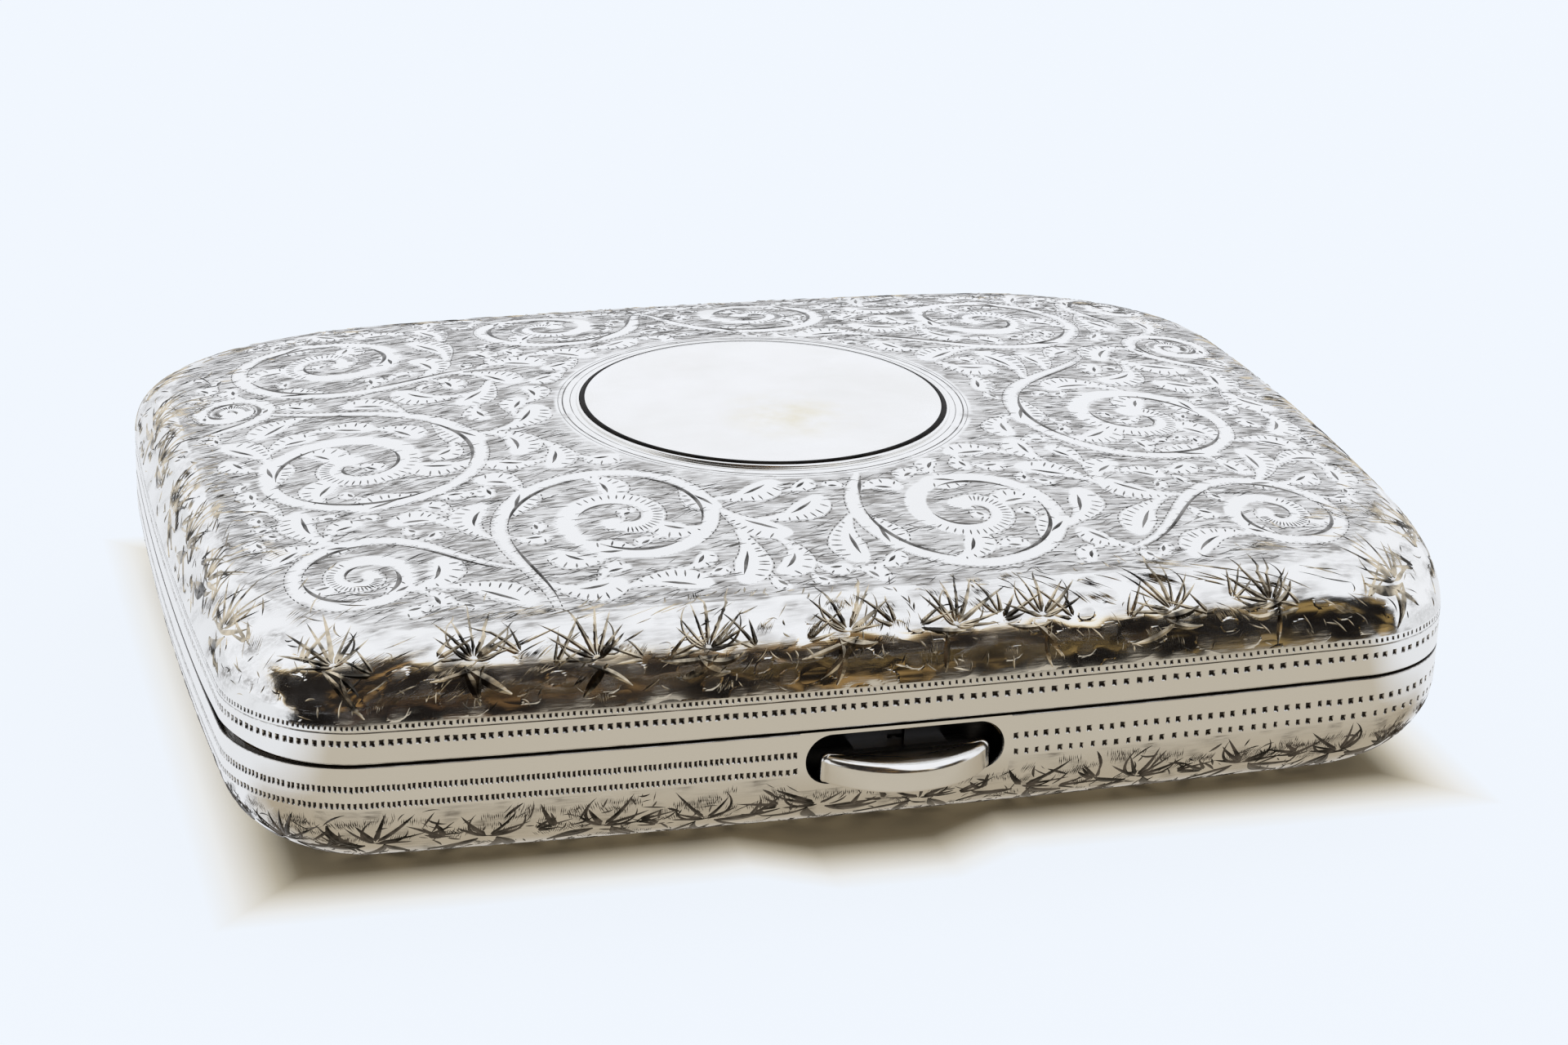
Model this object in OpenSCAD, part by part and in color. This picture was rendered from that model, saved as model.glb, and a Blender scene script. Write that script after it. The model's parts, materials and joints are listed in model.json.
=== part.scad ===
// Pillow-shaped silver case for visiting cards. A base and a lid of pressed sheet meet at a
// seam near mid-height. They turn on a knuckled hinge along the back edge, and a push-piece
// on a leaf spring at the front frees the lid.
// X runs along the width, Y from the front to the back and Z up. The origin is on the
// underside, below the middle of the case.

/* [Case] */
// Width of the case
case_width = 94; // [90:1:104]
// Depth of the case, without its hinge and push-piece
case_depth = 71; // [66:1:80]
// Height of the seam above the underside
seam_height = 10.4; // [9.4:0.1:12.4]
// Thickness of the silver sheet
sheet = 0.7; // [0.5:0.05:0.9]
// Radius of the corners at the seam, seen from above
corner_radius = 9.7; // [8:0.1:12]
// How far the left and right sides bow outwards
side_bow = 0.6; // [0.3:0.1:1.2]
// How far the front and the back bow outwards
front_bow = 0.8; // [0.3:0.1:1.2]
// Gap that shows between the closed lid and the base
seam_gap = 0.16; // [0.1:0.02:0.3]

/* [Lid] */
// Height of the plain upright band above the seam
lid_band = 2.5; // [2:0.1:3]
// Inward width of the roll between the band and the dome
lid_roll = 3.1; // [2.6:0.1:4]
// Height of the roll
lid_roll_height = 6.2; // [5:0.1:7]
// Squareness of the roll: 2 is an ellipse
lid_roll_power = 2.2; // [2:0.1:2.6]
// Growth of the corner radius from the band to the top of the roll
corner_growth = 16.6; // [10:0.2:17]
// Rise of the dome above the roll
dome_rise = 3.7; // [2:0.1:4.5]

/* [Base] */
// Height of the plain upright band below the seam
base_band = 2.5; // [2:0.1:3]
// Inward width of the rounding between the band and the flat underside
base_roll = 10.3; // [8:0.1:12]

/* [Cartouche] */
// Radius of the plain round cartouche
disc_radius = 14.2; // [11:0.1:16]
// Height of the cartouche's edge above the lid
disc_step = 0.3; // [0.2:0.05:0.5]
// Width of the raised ring around the cartouche
ring_width = 0.5; // [0.4:0.1:0.9]
// Height of that ring above the lid
ring_step = 0.2; // [0.1:0.05:0.3]

/* [Mouth frames] */
// Thickness of the frames that stiffen both mouths
frame_thickness = 1.2; // [1:0.1:1.6]
// Height of those frames
frame_height = 2.4; // [1.8:0.1:2.4]

/* [Hinge] */
// Length of the row of knuckles
hinge_length = 56; // [40:1:60]
// Outer radius of a knuckle
knuckle_radius = 1.3; // [1.2:0.05:1.5]
// Radius of the hinge pin
pin_radius = 0.6; // [0.5:0.05:0.7]
// Radial clearance of the lid's knuckles on the pin
pin_clearance = 0.05; // [0.03:0.01:0.08]
// Clearance between the knuckles and what moves past them
knuckle_gap = 0.15; // [0.1:0.05:0.25]

/* [Catch] */
// How far the catch sits to the right of the middle
catch_x = 1.3; // [0:0.1:2]
// Width of the opening for the push-piece
opening_width = 14.9; // [13:0.1:17]
// Height of that opening
opening_height = 4; // [3.6:0.1:4.2]
// Sheet left between the opening and the seam
opening_lip = 0.35; // [0.3:0.05:0.6]
// Width of the push-piece
push_width = 12.6; // [11:0.1:13]
// Height of the push-piece
push_height = 2.1; // [1.8:0.1:2.4]
// How far the push-piece stands out at its middle
push_bulge = 3.1; // [2:0.1:3.4]
// Length of the leaf spring
spring_length = 34; // [28:1:40]
// Thickness of the leaf spring
spring_thickness = 0.35; // [0.25:0.05:0.4]

/* [Hidden] */
lid_knuckles = 3;
base_knuckles = lid_knuckles + 1;

half_w = case_width / 2;
half_d = case_depth / 2;
base_mouth = seam_height - seam_gap / 2;
lid_mouth = seam_height + seam_gap / 2;
band_top = seam_height + lid_band;
band_bottom = seam_height - base_band;
roll_top = band_top + lid_roll_height;

// Steps along a long side, a short side and a corner of one ring of the shells
long_steps = 12;
short_steps = 8;
corner_steps = 8;
roll_steps = 8;
dome_steps = 8;

silver = [0.87, 0.86, 0.84];
plain_silver = [0.93, 0.93, 0.94];
gilt = [0.88, 0.76, 0.48];
steel = [0.55, 0.56, 0.58];

// ---- Rings: closed loops of points round the case, all with the same number of points ----

// Corner radius of the ring that lies `inset` inside a mouth, when the roll is `roll` wide
function ring_corner(inset, start, roll, growth) =
    start - inset + growth * min(inset / roll, 1);

// One bowed side: points on an arc of half chord h and rise s that stands `off` from the
// middle, pushed outwards by r and turned to face `turn`
function bowed_side(h, off, s, r, steps, turn) =
    let (radius = (h * h + s * s) / (2 * s), reach = asin(h / radius))
    [for (i = [0:steps])
        let (a = reach * (1 - 2 * i / steps),
             t = (radius + r) * sin(a),
             o = off + s - radius + (radius + r) * cos(a))
        [t * cos(turn) - o * sin(turn), t * sin(turn) + o * cos(turn)]];

// The points of a corner arc of radius r about c, between its two ends
function corner_arc(c, r, from, to) =
    [for (i = [1:corner_steps - 1])
        let (a = from + (to - from) * i / corner_steps) c + r * [cos(a), sin(a)]];

// A rounded rectangle with bowed sides, with half sizes a and b and corners of radius r.
// It runs anticlockwise from the front end of the right side.
function ring(a, b, r) =
    let (cx = a - side_bow - r,
         cy = b - front_bow - r,
         rise_x = asin(cy / ((cy * cy + side_bow * side_bow) / (2 * side_bow))),
         rise_y = asin(cx / ((cx * cx + front_bow * front_bow) / (2 * front_bow))))
    concat(
        bowed_side(cy, cx, side_bow, r, short_steps, -90),
        corner_arc([cx, cy], r, rise_x, 90 - rise_y),
        bowed_side(cx, cy, front_bow, r, long_steps, 0),
        corner_arc([-cx, cy], r, 90 + rise_y, 180 - rise_x),
        bowed_side(cy, cx, side_bow, r, short_steps, 90),
        corner_arc([-cx, -cy], r, 180 + rise_x, 270 - rise_y),
        bowed_side(cx, cy, front_bow, r, long_steps, 180),
        corner_arc([cx, -cy], r, 270 + rise_y, 360 - rise_x));

function level(loop, z) = [for (p = loop) [p[0], p[1], z]];

// The ring at `inset` inside the outer face of the lid's or the base's wall
function lid_ring(inset, skin) = ring(half_w - skin - inset, half_d - skin - inset,
    ring_corner(inset, corner_radius - skin, lid_roll, corner_growth));
corner_taper = 0.75;
least_corner = 1;
function base_ring(inset, skin) = ring(half_w - skin - inset, half_d - skin - inset,
    max(corner_radius - skin - inset * corner_taper, least_corner));
function mouth_ring(skin) = base_ring(0, skin);

// ---- Profiles ----

// A quarter of a superellipse, from the band (a = 0) to the top of the roll (a = 90)
function roll_inset(a, width, power) = width * (1 - pow(cos(a), 2 / power));
function roll_rise(a, height, power) = height * pow(sin(a), 2 / power);

// Height of the dome where its share of the way in to the middle is k: 1 at the mouth
function dome_height(k) = dome_rise * (1 - k * k);
roll_share = (half_d - lid_roll) / half_d;
disc_share = 0.35;
hole_slack = 0.02;

// A point part way from the top of the roll (t = 0) to the cartouche's edge (t = 1)
function toward_disc(p, t) =
    let (edge = [p[0], p[1]] * (disc_radius + hole_slack) / norm([p[0], p[1]]))
    [p[0] * (1 - t) + edge[0] * t, p[1] * (1 - t) + edge[1] * t];

// The lid's surface, `skin` inside its outer face, as rings from the mouth to the hole
// for the cartouche
function lid_surface(skin) =
    let (top = lid_ring(lid_roll, skin),
         rise = lid_roll_height - skin)
    concat(
        [level(mouth_ring(skin), lid_mouth)],
        [for (i = [0:roll_steps - 1])
            let (a = 90 * i / roll_steps,
                 inset = roll_inset(a, lid_roll, lid_roll_power),
                 k = (half_d - inset) / half_d)
            level(lid_ring(inset, skin),
                band_top + roll_rise(a, rise, lid_roll_power) + dome_height(k))],
        [for (i = [0:dome_steps])
            let (t = i / dome_steps, k = roll_share + (disc_share - roll_share) * t)
            level([for (p = top) toward_disc(p, t)], band_top + rise + dome_height(k))]);

// The base's surface, `skin` inside its outer face, as rings from the mouth to the floor
function base_surface(skin) = concat(
    [level(mouth_ring(skin), base_mouth)],
    [for (i = [0:roll_steps])
        let (a = 90 * i / roll_steps)
        level(base_ring(roll_inset(a, base_roll, 2), skin),
            band_bottom - roll_rise(a, band_bottom - skin, 2))]);

// ---- Solids made of rings ----

// Two triangles for each side of the strip between two rings of n points
function strip_faces(n, lower, upper) =
    [for (i = [0:n - 1])
        let (a = lower + i, b = lower + (i + 1) % n, c = upper + (i + 1) % n, d = upper + i)
        each [[a, c, b], [a, d, c]]];
function cap(n, start, up) =
    [for (i = [0:n - 1]) start + (up ? i : n - 1 - i)];

// A skin through a list of rings. It closes on itself, or else the first and the last
// ring get a flat face each.
module ring_solid(rings, closed) {
    n = len(rings[0]);
    count = len(rings);
    faces = concat(
        [for (r = [0:count - 2]) each strip_faces(n, r * n, (r + 1) * n)],
        closed ? strip_faces(n, (count - 1) * n, 0)
            : [cap(n, 0, true), cap(n, (count - 1) * n, false)]);
    polyhedron(points = [for (r = rings) each r], faces = faces, convexity = 6);
}

function reversed(list) = [for (i = [len(list) - 1:-1:0]) list[i]];

// ---- Hinge ----

hinge_y = half_d;
knuckle_count = lid_knuckles + base_knuckles;
knuckle_pitch = hinge_length / knuckle_count;
function knuckle_start(i) = -hinge_length / 2 + i * knuckle_pitch;

module along_hinge(x, length, r) {
    translate([x, hinge_y, seam_height]) rotate([0, 90, 0])
        cylinder(r = r, h = length, $fn = 48);
}

// The groove that holds the knuckles: tight round those of its own half, loose elsewhere
module hinge_groove(own) {
    for (i = [0:knuckle_count - 1]) {
        mine = (i % 2 == own);
        slack = mine ? 0 : knuckle_gap;
        along_hinge(knuckle_start(i) - (mine ? 0 : knuckle_gap / 2),
            knuckle_pitch + (mine ? 0 : knuckle_gap), knuckle_radius + slack);
    }
    for (x = [-hinge_length / 2 - knuckle_gap, hinge_length / 2])
        along_hinge(x, knuckle_gap, knuckle_radius + knuckle_gap);
}

module knuckle(i, bore) {
    difference() {
        along_hinge(knuckle_start(i) + knuckle_gap / 2, knuckle_pitch - knuckle_gap,
            knuckle_radius);
        along_hinge(knuckle_start(i) - 1, knuckle_pitch + 2, bore);
    }
}

plug_length = 1.2;
pin_length = hinge_length - knuckle_gap - 2 * plug_length;

module base_knuckle(i) color(silver) knuckle(2 * i, pin_radius);
module lid_knuckle(i) color(silver) knuckle(2 * i + 1, pin_radius + pin_clearance);
module hinge_pin() color(steel) along_hinge(-pin_length / 2, pin_length, pin_radius);
module hinge_plug(side)
    color(silver)
        along_hinge(side > 0 ? pin_length / 2 : -pin_length / 2 - plug_length,
            plug_length, pin_radius);

// ---- Catch. Depths into the case are counted from the outer face of the front wall ----

front_y = -half_d;
opening_top = seam_height - opening_lip;
opening_middle = opening_top - opening_height / 2;
frame_inside = sheet + frame_thickness;
pad_thickness = 0.6;
spring_front = frame_inside + pad_thickness;
spring_back = spring_front + spring_thickness;
spring_bottom = seam_height - 4.4;
pad_bottom = base_mouth - frame_height + 0.1;
spring_top = seam_height - 0.8;
rivet_z = seam_height - 1.6;
rivet_x = spring_length / 2 - 2;
rivet_radius = 0.4;
hook_thickness = 0.4;
hook_width = 6;
lip_bottom = lid_mouth + 0.1;
lip_top = lip_bottom + 0.6;
lip_reach = spring_front + 0.2;
nose_bottom = lip_top + 0.12;
nose_top = nose_bottom + 0.6;
nose_reach = frame_inside + 0.15;
push_bottom = seam_height - 4;
push_middle = push_bottom + push_height / 2;
push_back = 0.5;
stem_width = 7;
stem_height = 1.4;
tenon_radius = 0.6;
tenon_clearance = 0.05;

// A box between two depths, two heights and +-width/2 about the catch's middle
module catch_box(width, from, to, bottom, top) {
    translate([catch_x - width / 2, front_y + from, bottom])
        cube([width, to - from, top - bottom]);
}

// A round bar that runs from front to back
module catch_rod(x, z, r, from, to) {
    translate([catch_x + x, front_y + to, z]) rotate([90, 0, 0])
        cylinder(r = r, h = to - from, $fn = 32);
}

module catch_opening() {
    r = opening_height / 2;
    reach = opening_width / 2 - r;
    for (x = [-reach, reach]) catch_rod(x, opening_middle, r, -1, frame_inside + 1);
    catch_box(2 * reach, -1, frame_inside + 1, opening_middle - r, opening_top);
}

// How far cutting tools pass beyond the faces they cut
cut_margin = 1;
// How far the two parts of the push-piece run into each other
push_overlap = 0.1;
pad_width = 3.6;
// The rivets start inside the frame, behind the sheet
rivet_root = sheet + 0.3;
rivet_head = 0.35;
// Width of the lid's catch lip beyond the hook's
lip_extra = 2;
// The flats run past the spring's ends and this deep into the frames
flat_margin = 2;
flat_depth = 3;

// Seen from above: a bowed front edge and a straight back
module push_outline() {
    rise = push_bulge;
    radius = (push_width * push_width / 4 + rise * rise) / (2 * rise);
    intersection() {
        translate([0, rise - radius]) circle(r = radius, $fn = 96);
        translate([-push_width / 2, -push_back]) square([push_width, rise + push_back]);
    }
}

module thumb_piece() {
    color(plain_silver)
        translate([catch_x, front_y, push_bottom]) mirror([0, 1, 0]) {
            linear_extrude(push_height) push_outline();
            translate([-push_width / 2, -push_back, 0])
                cube([push_width, push_back + push_overlap, push_height]);
        }
}

module thumb_stem() {
    color(plain_silver) {
        catch_box(stem_width, push_back, spring_front,
            push_middle - stem_height / 2, push_middle + stem_height / 2);
        catch_rod(0, push_middle, tenon_radius, spring_front, spring_back + hook_thickness);
    }
}

module catch_hook() {
    color(steel) difference() {
        union() {
            catch_box(hook_width, spring_back, spring_back + hook_thickness,
                spring_bottom, nose_top);
            catch_box(hook_width, nose_reach, spring_back + hook_thickness,
                nose_bottom, nose_top);
        }
        catch_rod(0, push_middle, tenon_radius, spring_back - 1, spring_back + 2);
    }
}

module catch_spring() {
    color(steel) difference() {
        catch_box(spring_length, spring_front, spring_back, spring_bottom, spring_top);
        catch_rod(0, push_middle, tenon_radius + tenon_clearance, spring_front - 1,
            spring_back + 1);
        for (x = [-rivet_x, rivet_x])
            catch_rod(x, rivet_z, rivet_radius, spring_front - 1, spring_back + 1);
    }
}

module spring_pad(side) {
    color(gilt) difference() {
        translate([side * rivet_x, 0, 0])
            catch_box(pad_width, frame_inside, spring_front, pad_bottom, spring_top);
        catch_rod(side * rivet_x, rivet_z, rivet_radius, frame_inside - 1, spring_front + 1);
    }
}

module spring_rivet(side) {
    color(steel) {
        catch_rod(side * rivet_x, rivet_z, rivet_radius, rivet_root, spring_back);
        catch_rod(side * rivet_x, rivet_z, 2 * rivet_radius, spring_back,
            spring_back + rivet_head);
    }
}

module lid_catch_lip() {
    color(gilt) catch_box(hook_width + lip_extra, frame_inside, lip_reach, lip_bottom,
        lip_top);
}

// ---- Shells, frames and cartouche ----

module mouth_frame(z) {
    translate([0, 0, z]) linear_extrude(frame_height) difference() {
        polygon(mouth_ring(sheet));
        polygon(mouth_ring(frame_inside));
    }
}

// The straight inner face of the frames along the front, which the catch is built on
module front_flat(z) {
    translate([catch_x - spring_length / 2 - flat_margin, front_y + frame_inside,
            z - cut_margin])
        cube([spring_length + 2 * flat_margin, flat_depth, frame_height + 2 * cut_margin]);
}

module base_frame() {
    color(gilt) difference() {
        mouth_frame(base_mouth - frame_height);
        hinge_groove(0);
        catch_opening();
        front_flat(base_mouth - frame_height);
        for (x = [-rivet_x, rivet_x])
            catch_rod(x, rivet_z, rivet_radius, rivet_root, frame_inside + cut_margin);
    }
}

module lid_frame() {
    color(gilt) difference() {
        mouth_frame(lid_mouth);
        hinge_groove(1);
        front_flat(lid_mouth);
    }
}

module base_shell() {
    color(silver) difference() {
        ring_solid(concat(reversed(base_surface(0)), base_surface(sheet)), false);
        hinge_groove(0);
        catch_opening();
    }
}

module lid_shell() {
    color(silver) difference() {
        ring_solid(concat(lid_surface(0), reversed(lid_surface(sheet))), true);
        hinge_groove(1);
    }
}

disc_edge = roll_top + dome_height(disc_share);
disc_crown = 0.35;
crown_steps = 12;

// Height of the cartouche's face above its own edge, at radius r
function crown(r) = disc_crown * (1 - pow(r / disc_radius, 2));

module cartouche_disc() {
    top = disc_edge + disc_step;
    color(plain_silver) rotate_extrude($fn = 96) polygon(concat(
        [[0, disc_edge - sheet], [disc_radius, disc_edge - sheet]],
        [for (i = [crown_steps:-1:0])
            let (r = disc_radius * i / crown_steps) [r, top + crown(r)]]));
}

module cartouche_ring() {
    color(plain_silver) translate([0, 0, disc_edge]) rotate_extrude($fn = 96)
        translate([disc_radius, 0]) square([ring_width, ring_step]);
}

base_shell();
base_frame();
for (i = [0:base_knuckles - 1])
    base_knuckle(i);
hinge_pin();
hinge_plug(-1);  // hinge_plug_left
hinge_plug(1);  // hinge_plug_right
spring_pad(-1);  // spring_pad_left
spring_pad(1);  // spring_pad_right
catch_spring();
spring_rivet(-1);  // spring_rivet_left
spring_rivet(1);  // spring_rivet_right
lid_shell();
lid_frame();
cartouche_disc();
cartouche_ring();
for (i = [0:lid_knuckles - 1])
    lid_knuckle(i);
lid_catch_lip();
thumb_piece();
thumb_stem();
catch_hook();
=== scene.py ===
"""Looks of the engraved silver card case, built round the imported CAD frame.

The two shells are rebuilt as fine surfaces on the CAD's own outline and profile. The
engraving lies on them as graver cuts: every cut is a narrow tapered ridge of metal.
Lengths in this file are millimetres until a mesh is made, and then metres.
"""
import json
import math

import bpy
import numpy as np
from mathutils import Matrix, Vector


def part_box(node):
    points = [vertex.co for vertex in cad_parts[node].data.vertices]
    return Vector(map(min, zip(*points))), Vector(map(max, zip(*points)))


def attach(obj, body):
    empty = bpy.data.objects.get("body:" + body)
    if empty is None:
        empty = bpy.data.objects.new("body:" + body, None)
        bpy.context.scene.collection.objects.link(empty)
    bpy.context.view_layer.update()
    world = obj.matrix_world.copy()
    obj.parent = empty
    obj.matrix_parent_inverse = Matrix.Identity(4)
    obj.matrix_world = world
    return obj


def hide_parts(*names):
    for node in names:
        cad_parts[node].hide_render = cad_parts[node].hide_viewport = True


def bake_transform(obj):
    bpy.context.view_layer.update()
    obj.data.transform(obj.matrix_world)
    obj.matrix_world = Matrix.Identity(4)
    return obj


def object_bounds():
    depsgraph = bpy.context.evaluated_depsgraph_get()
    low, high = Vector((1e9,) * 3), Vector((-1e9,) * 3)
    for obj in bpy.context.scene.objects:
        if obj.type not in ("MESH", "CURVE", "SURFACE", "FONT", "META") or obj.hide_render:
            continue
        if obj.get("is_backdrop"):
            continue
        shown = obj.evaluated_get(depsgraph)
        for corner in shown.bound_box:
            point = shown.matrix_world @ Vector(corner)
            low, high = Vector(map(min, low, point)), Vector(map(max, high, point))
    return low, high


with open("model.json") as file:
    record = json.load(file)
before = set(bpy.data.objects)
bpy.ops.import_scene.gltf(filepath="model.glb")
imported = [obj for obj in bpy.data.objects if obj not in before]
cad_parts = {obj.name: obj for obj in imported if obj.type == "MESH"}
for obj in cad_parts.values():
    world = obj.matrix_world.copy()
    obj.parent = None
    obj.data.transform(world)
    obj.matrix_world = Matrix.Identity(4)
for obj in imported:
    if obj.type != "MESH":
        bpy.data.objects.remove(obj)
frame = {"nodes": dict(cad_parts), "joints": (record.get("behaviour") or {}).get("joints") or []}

MM = 0.001
CAD_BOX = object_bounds()
rng = np.random.default_rng(7)

# ---- sizes from the frame


def box_mm(node):
    low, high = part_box(node)
    return np.array(low) / MM, np.array(high) / MM


HINGE = next(j for j in frame["joints"] if j["name"] == "lid_hinge")
SEAM = HINGE["pos_m"][2] / MM
HALF_W = box_mm("lid_shell")[1][0]
HALF_D = HINGE["pos_m"][1] / MM
LID_MOUTH = box_mm("lid_shell")[0][2]
BASE_MOUTH = box_mm("base_shell")[1][2]
DISC_R = box_mm("cartouche_disc")[1][0]
RING_LOW, RING_HIGH = box_mm("cartouche_ring")
PUSH_LOW, PUSH_HIGH = box_mm("thumb_piece")
CATCH_X = (PUSH_LOW[0] + PUSH_HIGH[0]) / 2
HINGE_HALF = box_mm("base_knuckle_4")[1][0]

# The shells' profile, as the CAD part has it
SHEET = 0.7
SIDE_BOW, FRONT_BOW = 0.6, 0.8
CORNER_R, CORNER_GROWTH = 9.7, 16.6
BAND = 2.5
LID_ROLL, LID_ROLL_H, LID_POWER = 3.1, 6.2, 2.2
DOME, DISC_SHARE = 3.7, 0.35
BASE_ROLL = 10.3
OPENING_W, OPENING_H, OPENING_LIP = 14.9, 4.0, 0.35
# Where the scrollwork ends: margins from the sides and the front, corner radius, and room
# round the cartouche
MARGIN_X, MARGIN_Y, MARGIN_R, MARGIN_DISC = 3.4, 3.6, 15.5, 2.0
# A cut's sliver: how deep its foot lies, and the least and most that its ridge stands up
FOOT, RIDGE_LOW, RIDGE_HIGH = 0.012, 0.008, 0.05
# Length of the shells' facets along plain strips, and the rounding at the mouth's edge
FACET, MOUTH_ROUND = 0.45, 0.08
# The stretch along the front over which the pits' pitch changes
PITCH_DRIFT = 30
BAND_TOP = SEAM + BAND
BAND_BOTTOM = SEAM - BAND

# ---- outlines and surfaces

LONG_STEPS, SHORT_STEPS, CORNER_STEPS = 320, 210, 140
# Index in an outline of the front's first point, and of its middle
FRONT_START = 2 * (SHORT_STEPS + 1) + LONG_STEPS + 1 + 3 * (CORNER_STEPS - 1)
FRONT = FRONT_START + LONG_STEPS // 2


def running(line):
    """Length along a line of points, up to each of them."""
    return np.r_[0, np.cumsum(np.linalg.norm(np.diff(line, axis=0), axis=1))]


def unit(vectors):
    return vectors / np.maximum(np.linalg.norm(vectors, axis=-1), 1e-12)[..., None]


def bowed_side(half, off, bow, r, steps, turn):
    """Points of a bowed side, pushed out by r and turned to face its way."""
    radius = (half * half + bow * bow) / (2 * bow)
    a = math.asin(half / radius) * (1 - 2 * np.arange(steps + 1) / steps)
    t = (radius + r) * np.sin(a)
    o = off + bow - radius + (radius + r) * np.cos(a)
    c, s = math.cos(turn), math.sin(turn)
    return np.c_[t * c - o * s, t * s + o * c]


def corner_arc(c, r, start, end):
    a = start + (end - start) * np.arange(1, CORNER_STEPS) / CORNER_STEPS
    return np.array(c) + r * np.c_[np.cos(a), np.sin(a)]


def ring(inset, r):
    """The case's outline, inset, with corners of radius r, anticlockwise from the front
    end of the right side."""
    a, b = HALF_W - inset, HALF_D - inset
    cx, cy = a - SIDE_BOW - r, b - FRONT_BOW - r
    q = math.pi / 2
    rx = math.asin(2 * SIDE_BOW * cy / (cy * cy + SIDE_BOW ** 2))
    ry = math.asin(2 * FRONT_BOW * cx / (cx * cx + FRONT_BOW ** 2))
    return np.vstack([
        bowed_side(cy, cx, SIDE_BOW, r, SHORT_STEPS, -q),
        corner_arc((cx, cy), r, rx, q - ry),
        bowed_side(cx, cy, FRONT_BOW, r, LONG_STEPS, 0),
        corner_arc((-cx, cy), r, q + ry, 2 * q - rx),
        bowed_side(cy, cx, SIDE_BOW, r, SHORT_STEPS, q),
        corner_arc((-cx, -cy), r, 2 * q + rx, 3 * q - ry),
        bowed_side(cx, cy, FRONT_BOW, r, LONG_STEPS, 2 * q),
        corner_arc((cx, -cy), r, 3 * q + ry, 4 * q - rx)])


def lid_ring(inset, skin=0.0):
    return ring(skin + inset, CORNER_R - skin - inset + CORNER_GROWTH * min(inset / LID_ROLL, 1))


def base_ring(inset, skin=0.0):
    return ring(skin + inset, max(CORNER_R - skin - inset * 0.75, 1))


def level(loop, z):
    return np.c_[loop, np.full(len(loop), z)]


def dome_height(k):
    return DOME * (1 - k * k)


def lid_row(q, skin=0.0):
    """Row q of the lid's surface: 0 to 1 up the band, to 2 over the roll, to 3 to the disc."""
    rise = LID_ROLL_H - skin
    if q <= 1:
        return level(lid_ring(0, skin), LID_MOUTH + (BAND_TOP - LID_MOUTH) * q)
    if q <= 2:
        a = (q - 1) * math.pi / 2
        inset = LID_ROLL * (1 - max(math.cos(a), 0) ** (2 / LID_POWER))
        z = BAND_TOP + rise * math.sin(a) ** (2 / LID_POWER)
        return level(lid_ring(inset, skin), z + dome_height((HALF_D - inset) / HALF_D))
    t = q - 2
    top = lid_ring(LID_ROLL, skin)
    hole = top / np.linalg.norm(top, axis=1)[:, None] * DISC_R
    share = (HALF_D - LID_ROLL) / HALF_D
    z = BAND_TOP + rise + dome_height(share + (DISC_SHARE - share) * t)
    return level(top * (1 - t) + hole * t, z)


def base_row(q, skin=0.0):
    """Row q of the base's surface: 0 to 1 down the band, to 2 round to the flat underside,
    to 3 towards the middle."""
    if q <= 1:
        return level(base_ring(0, skin), BASE_MOUTH - (BASE_MOUTH - BAND_BOTTOM) * q)
    if q <= 2:
        a = (q - 1) * math.pi / 2
        inset = BASE_ROLL * (1 - max(math.cos(a), 0))
        return level(base_ring(inset, skin), BAND_BOTTOM - (BAND_BOTTOM - skin) * math.sin(a))
    flat = base_row(2, skin)
    flat[:, :2] *= 3 - q + 0.001
    return flat


class Surface:
    """A shell's outer face as a grid. u runs round it in mm from the middle of the front,
    to the right, and v runs from the mouth in mm."""

    def __init__(self, row, q_end, step, flip):
        q = np.linspace(0, q_end, 1600)
        run = running([row(x)[FRONT] for x in q])
        self.length = run[-1]
        self.v = np.linspace(0, self.length, int(self.length / step) + 1)
        self.points = np.array([row(x) for x in np.interp(self.v, run, q)])
        wide = np.concatenate([self.points[:, -1:], self.points, self.points[:, :1]], 1)
        self.normals = flip * unit(np.cross(wide[:, 2:] - wide[:, :-2],
                                            np.gradient(self.points, axis=0)))
        mid = self.points[int(np.searchsorted(self.v, 5.0))]
        run = running(np.vstack([mid, mid[:1]]))
        self.around = run[-1]
        self.u = run - run[FRONT]
        self.lift = None

    def at(self, u, v):
        """Points and normals at places (u, v)."""
        rows, columns, _ = self.points.shape
        lo = self.u[0]
        col = np.interp((u - lo) % self.around, self.u - lo, np.arange(columns + 1))
        row = np.clip(v / self.length * (rows - 1), 0, rows - 1.001)
        i, j = row.astype(int), col.astype(int)
        fi, fj = (row - i)[..., None], (col - j)[..., None]
        j0, j1 = j % columns, (j + 1) % columns
        points, normals = (
            (grid[i, j0] * (1 - fj) + grid[i, j1] * fj) * (1 - fi)
            + (grid[i + 1, j0] * (1 - fj) + grid[i + 1, j1] * fj) * fi
            for grid in (self.points, self.normals))
        if self.lift:
            points[..., 2] += self.lift((u / self.around + 0.5) % 1 - 0.5, v)
        return points, unit(normals)


LID = Surface(lid_row, 3, 0.15, 1)
BASE = Surface(base_row, 2, 0.18, -1)


def sprung_mouth(share, v):
    """The lid's edge stands a little off the base at the front left corner, where the
    worn case no longer shuts."""
    return 0.5 * np.exp(-((share + 0.164) / 0.019) ** 2) * np.clip(1 - v / 1.25, 0, 1)

# ---- meshes


def add_object(name, data):
    obj = bpy.data.objects.new(name, data)
    bpy.context.scene.collection.objects.link(obj)
    return obj


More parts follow.
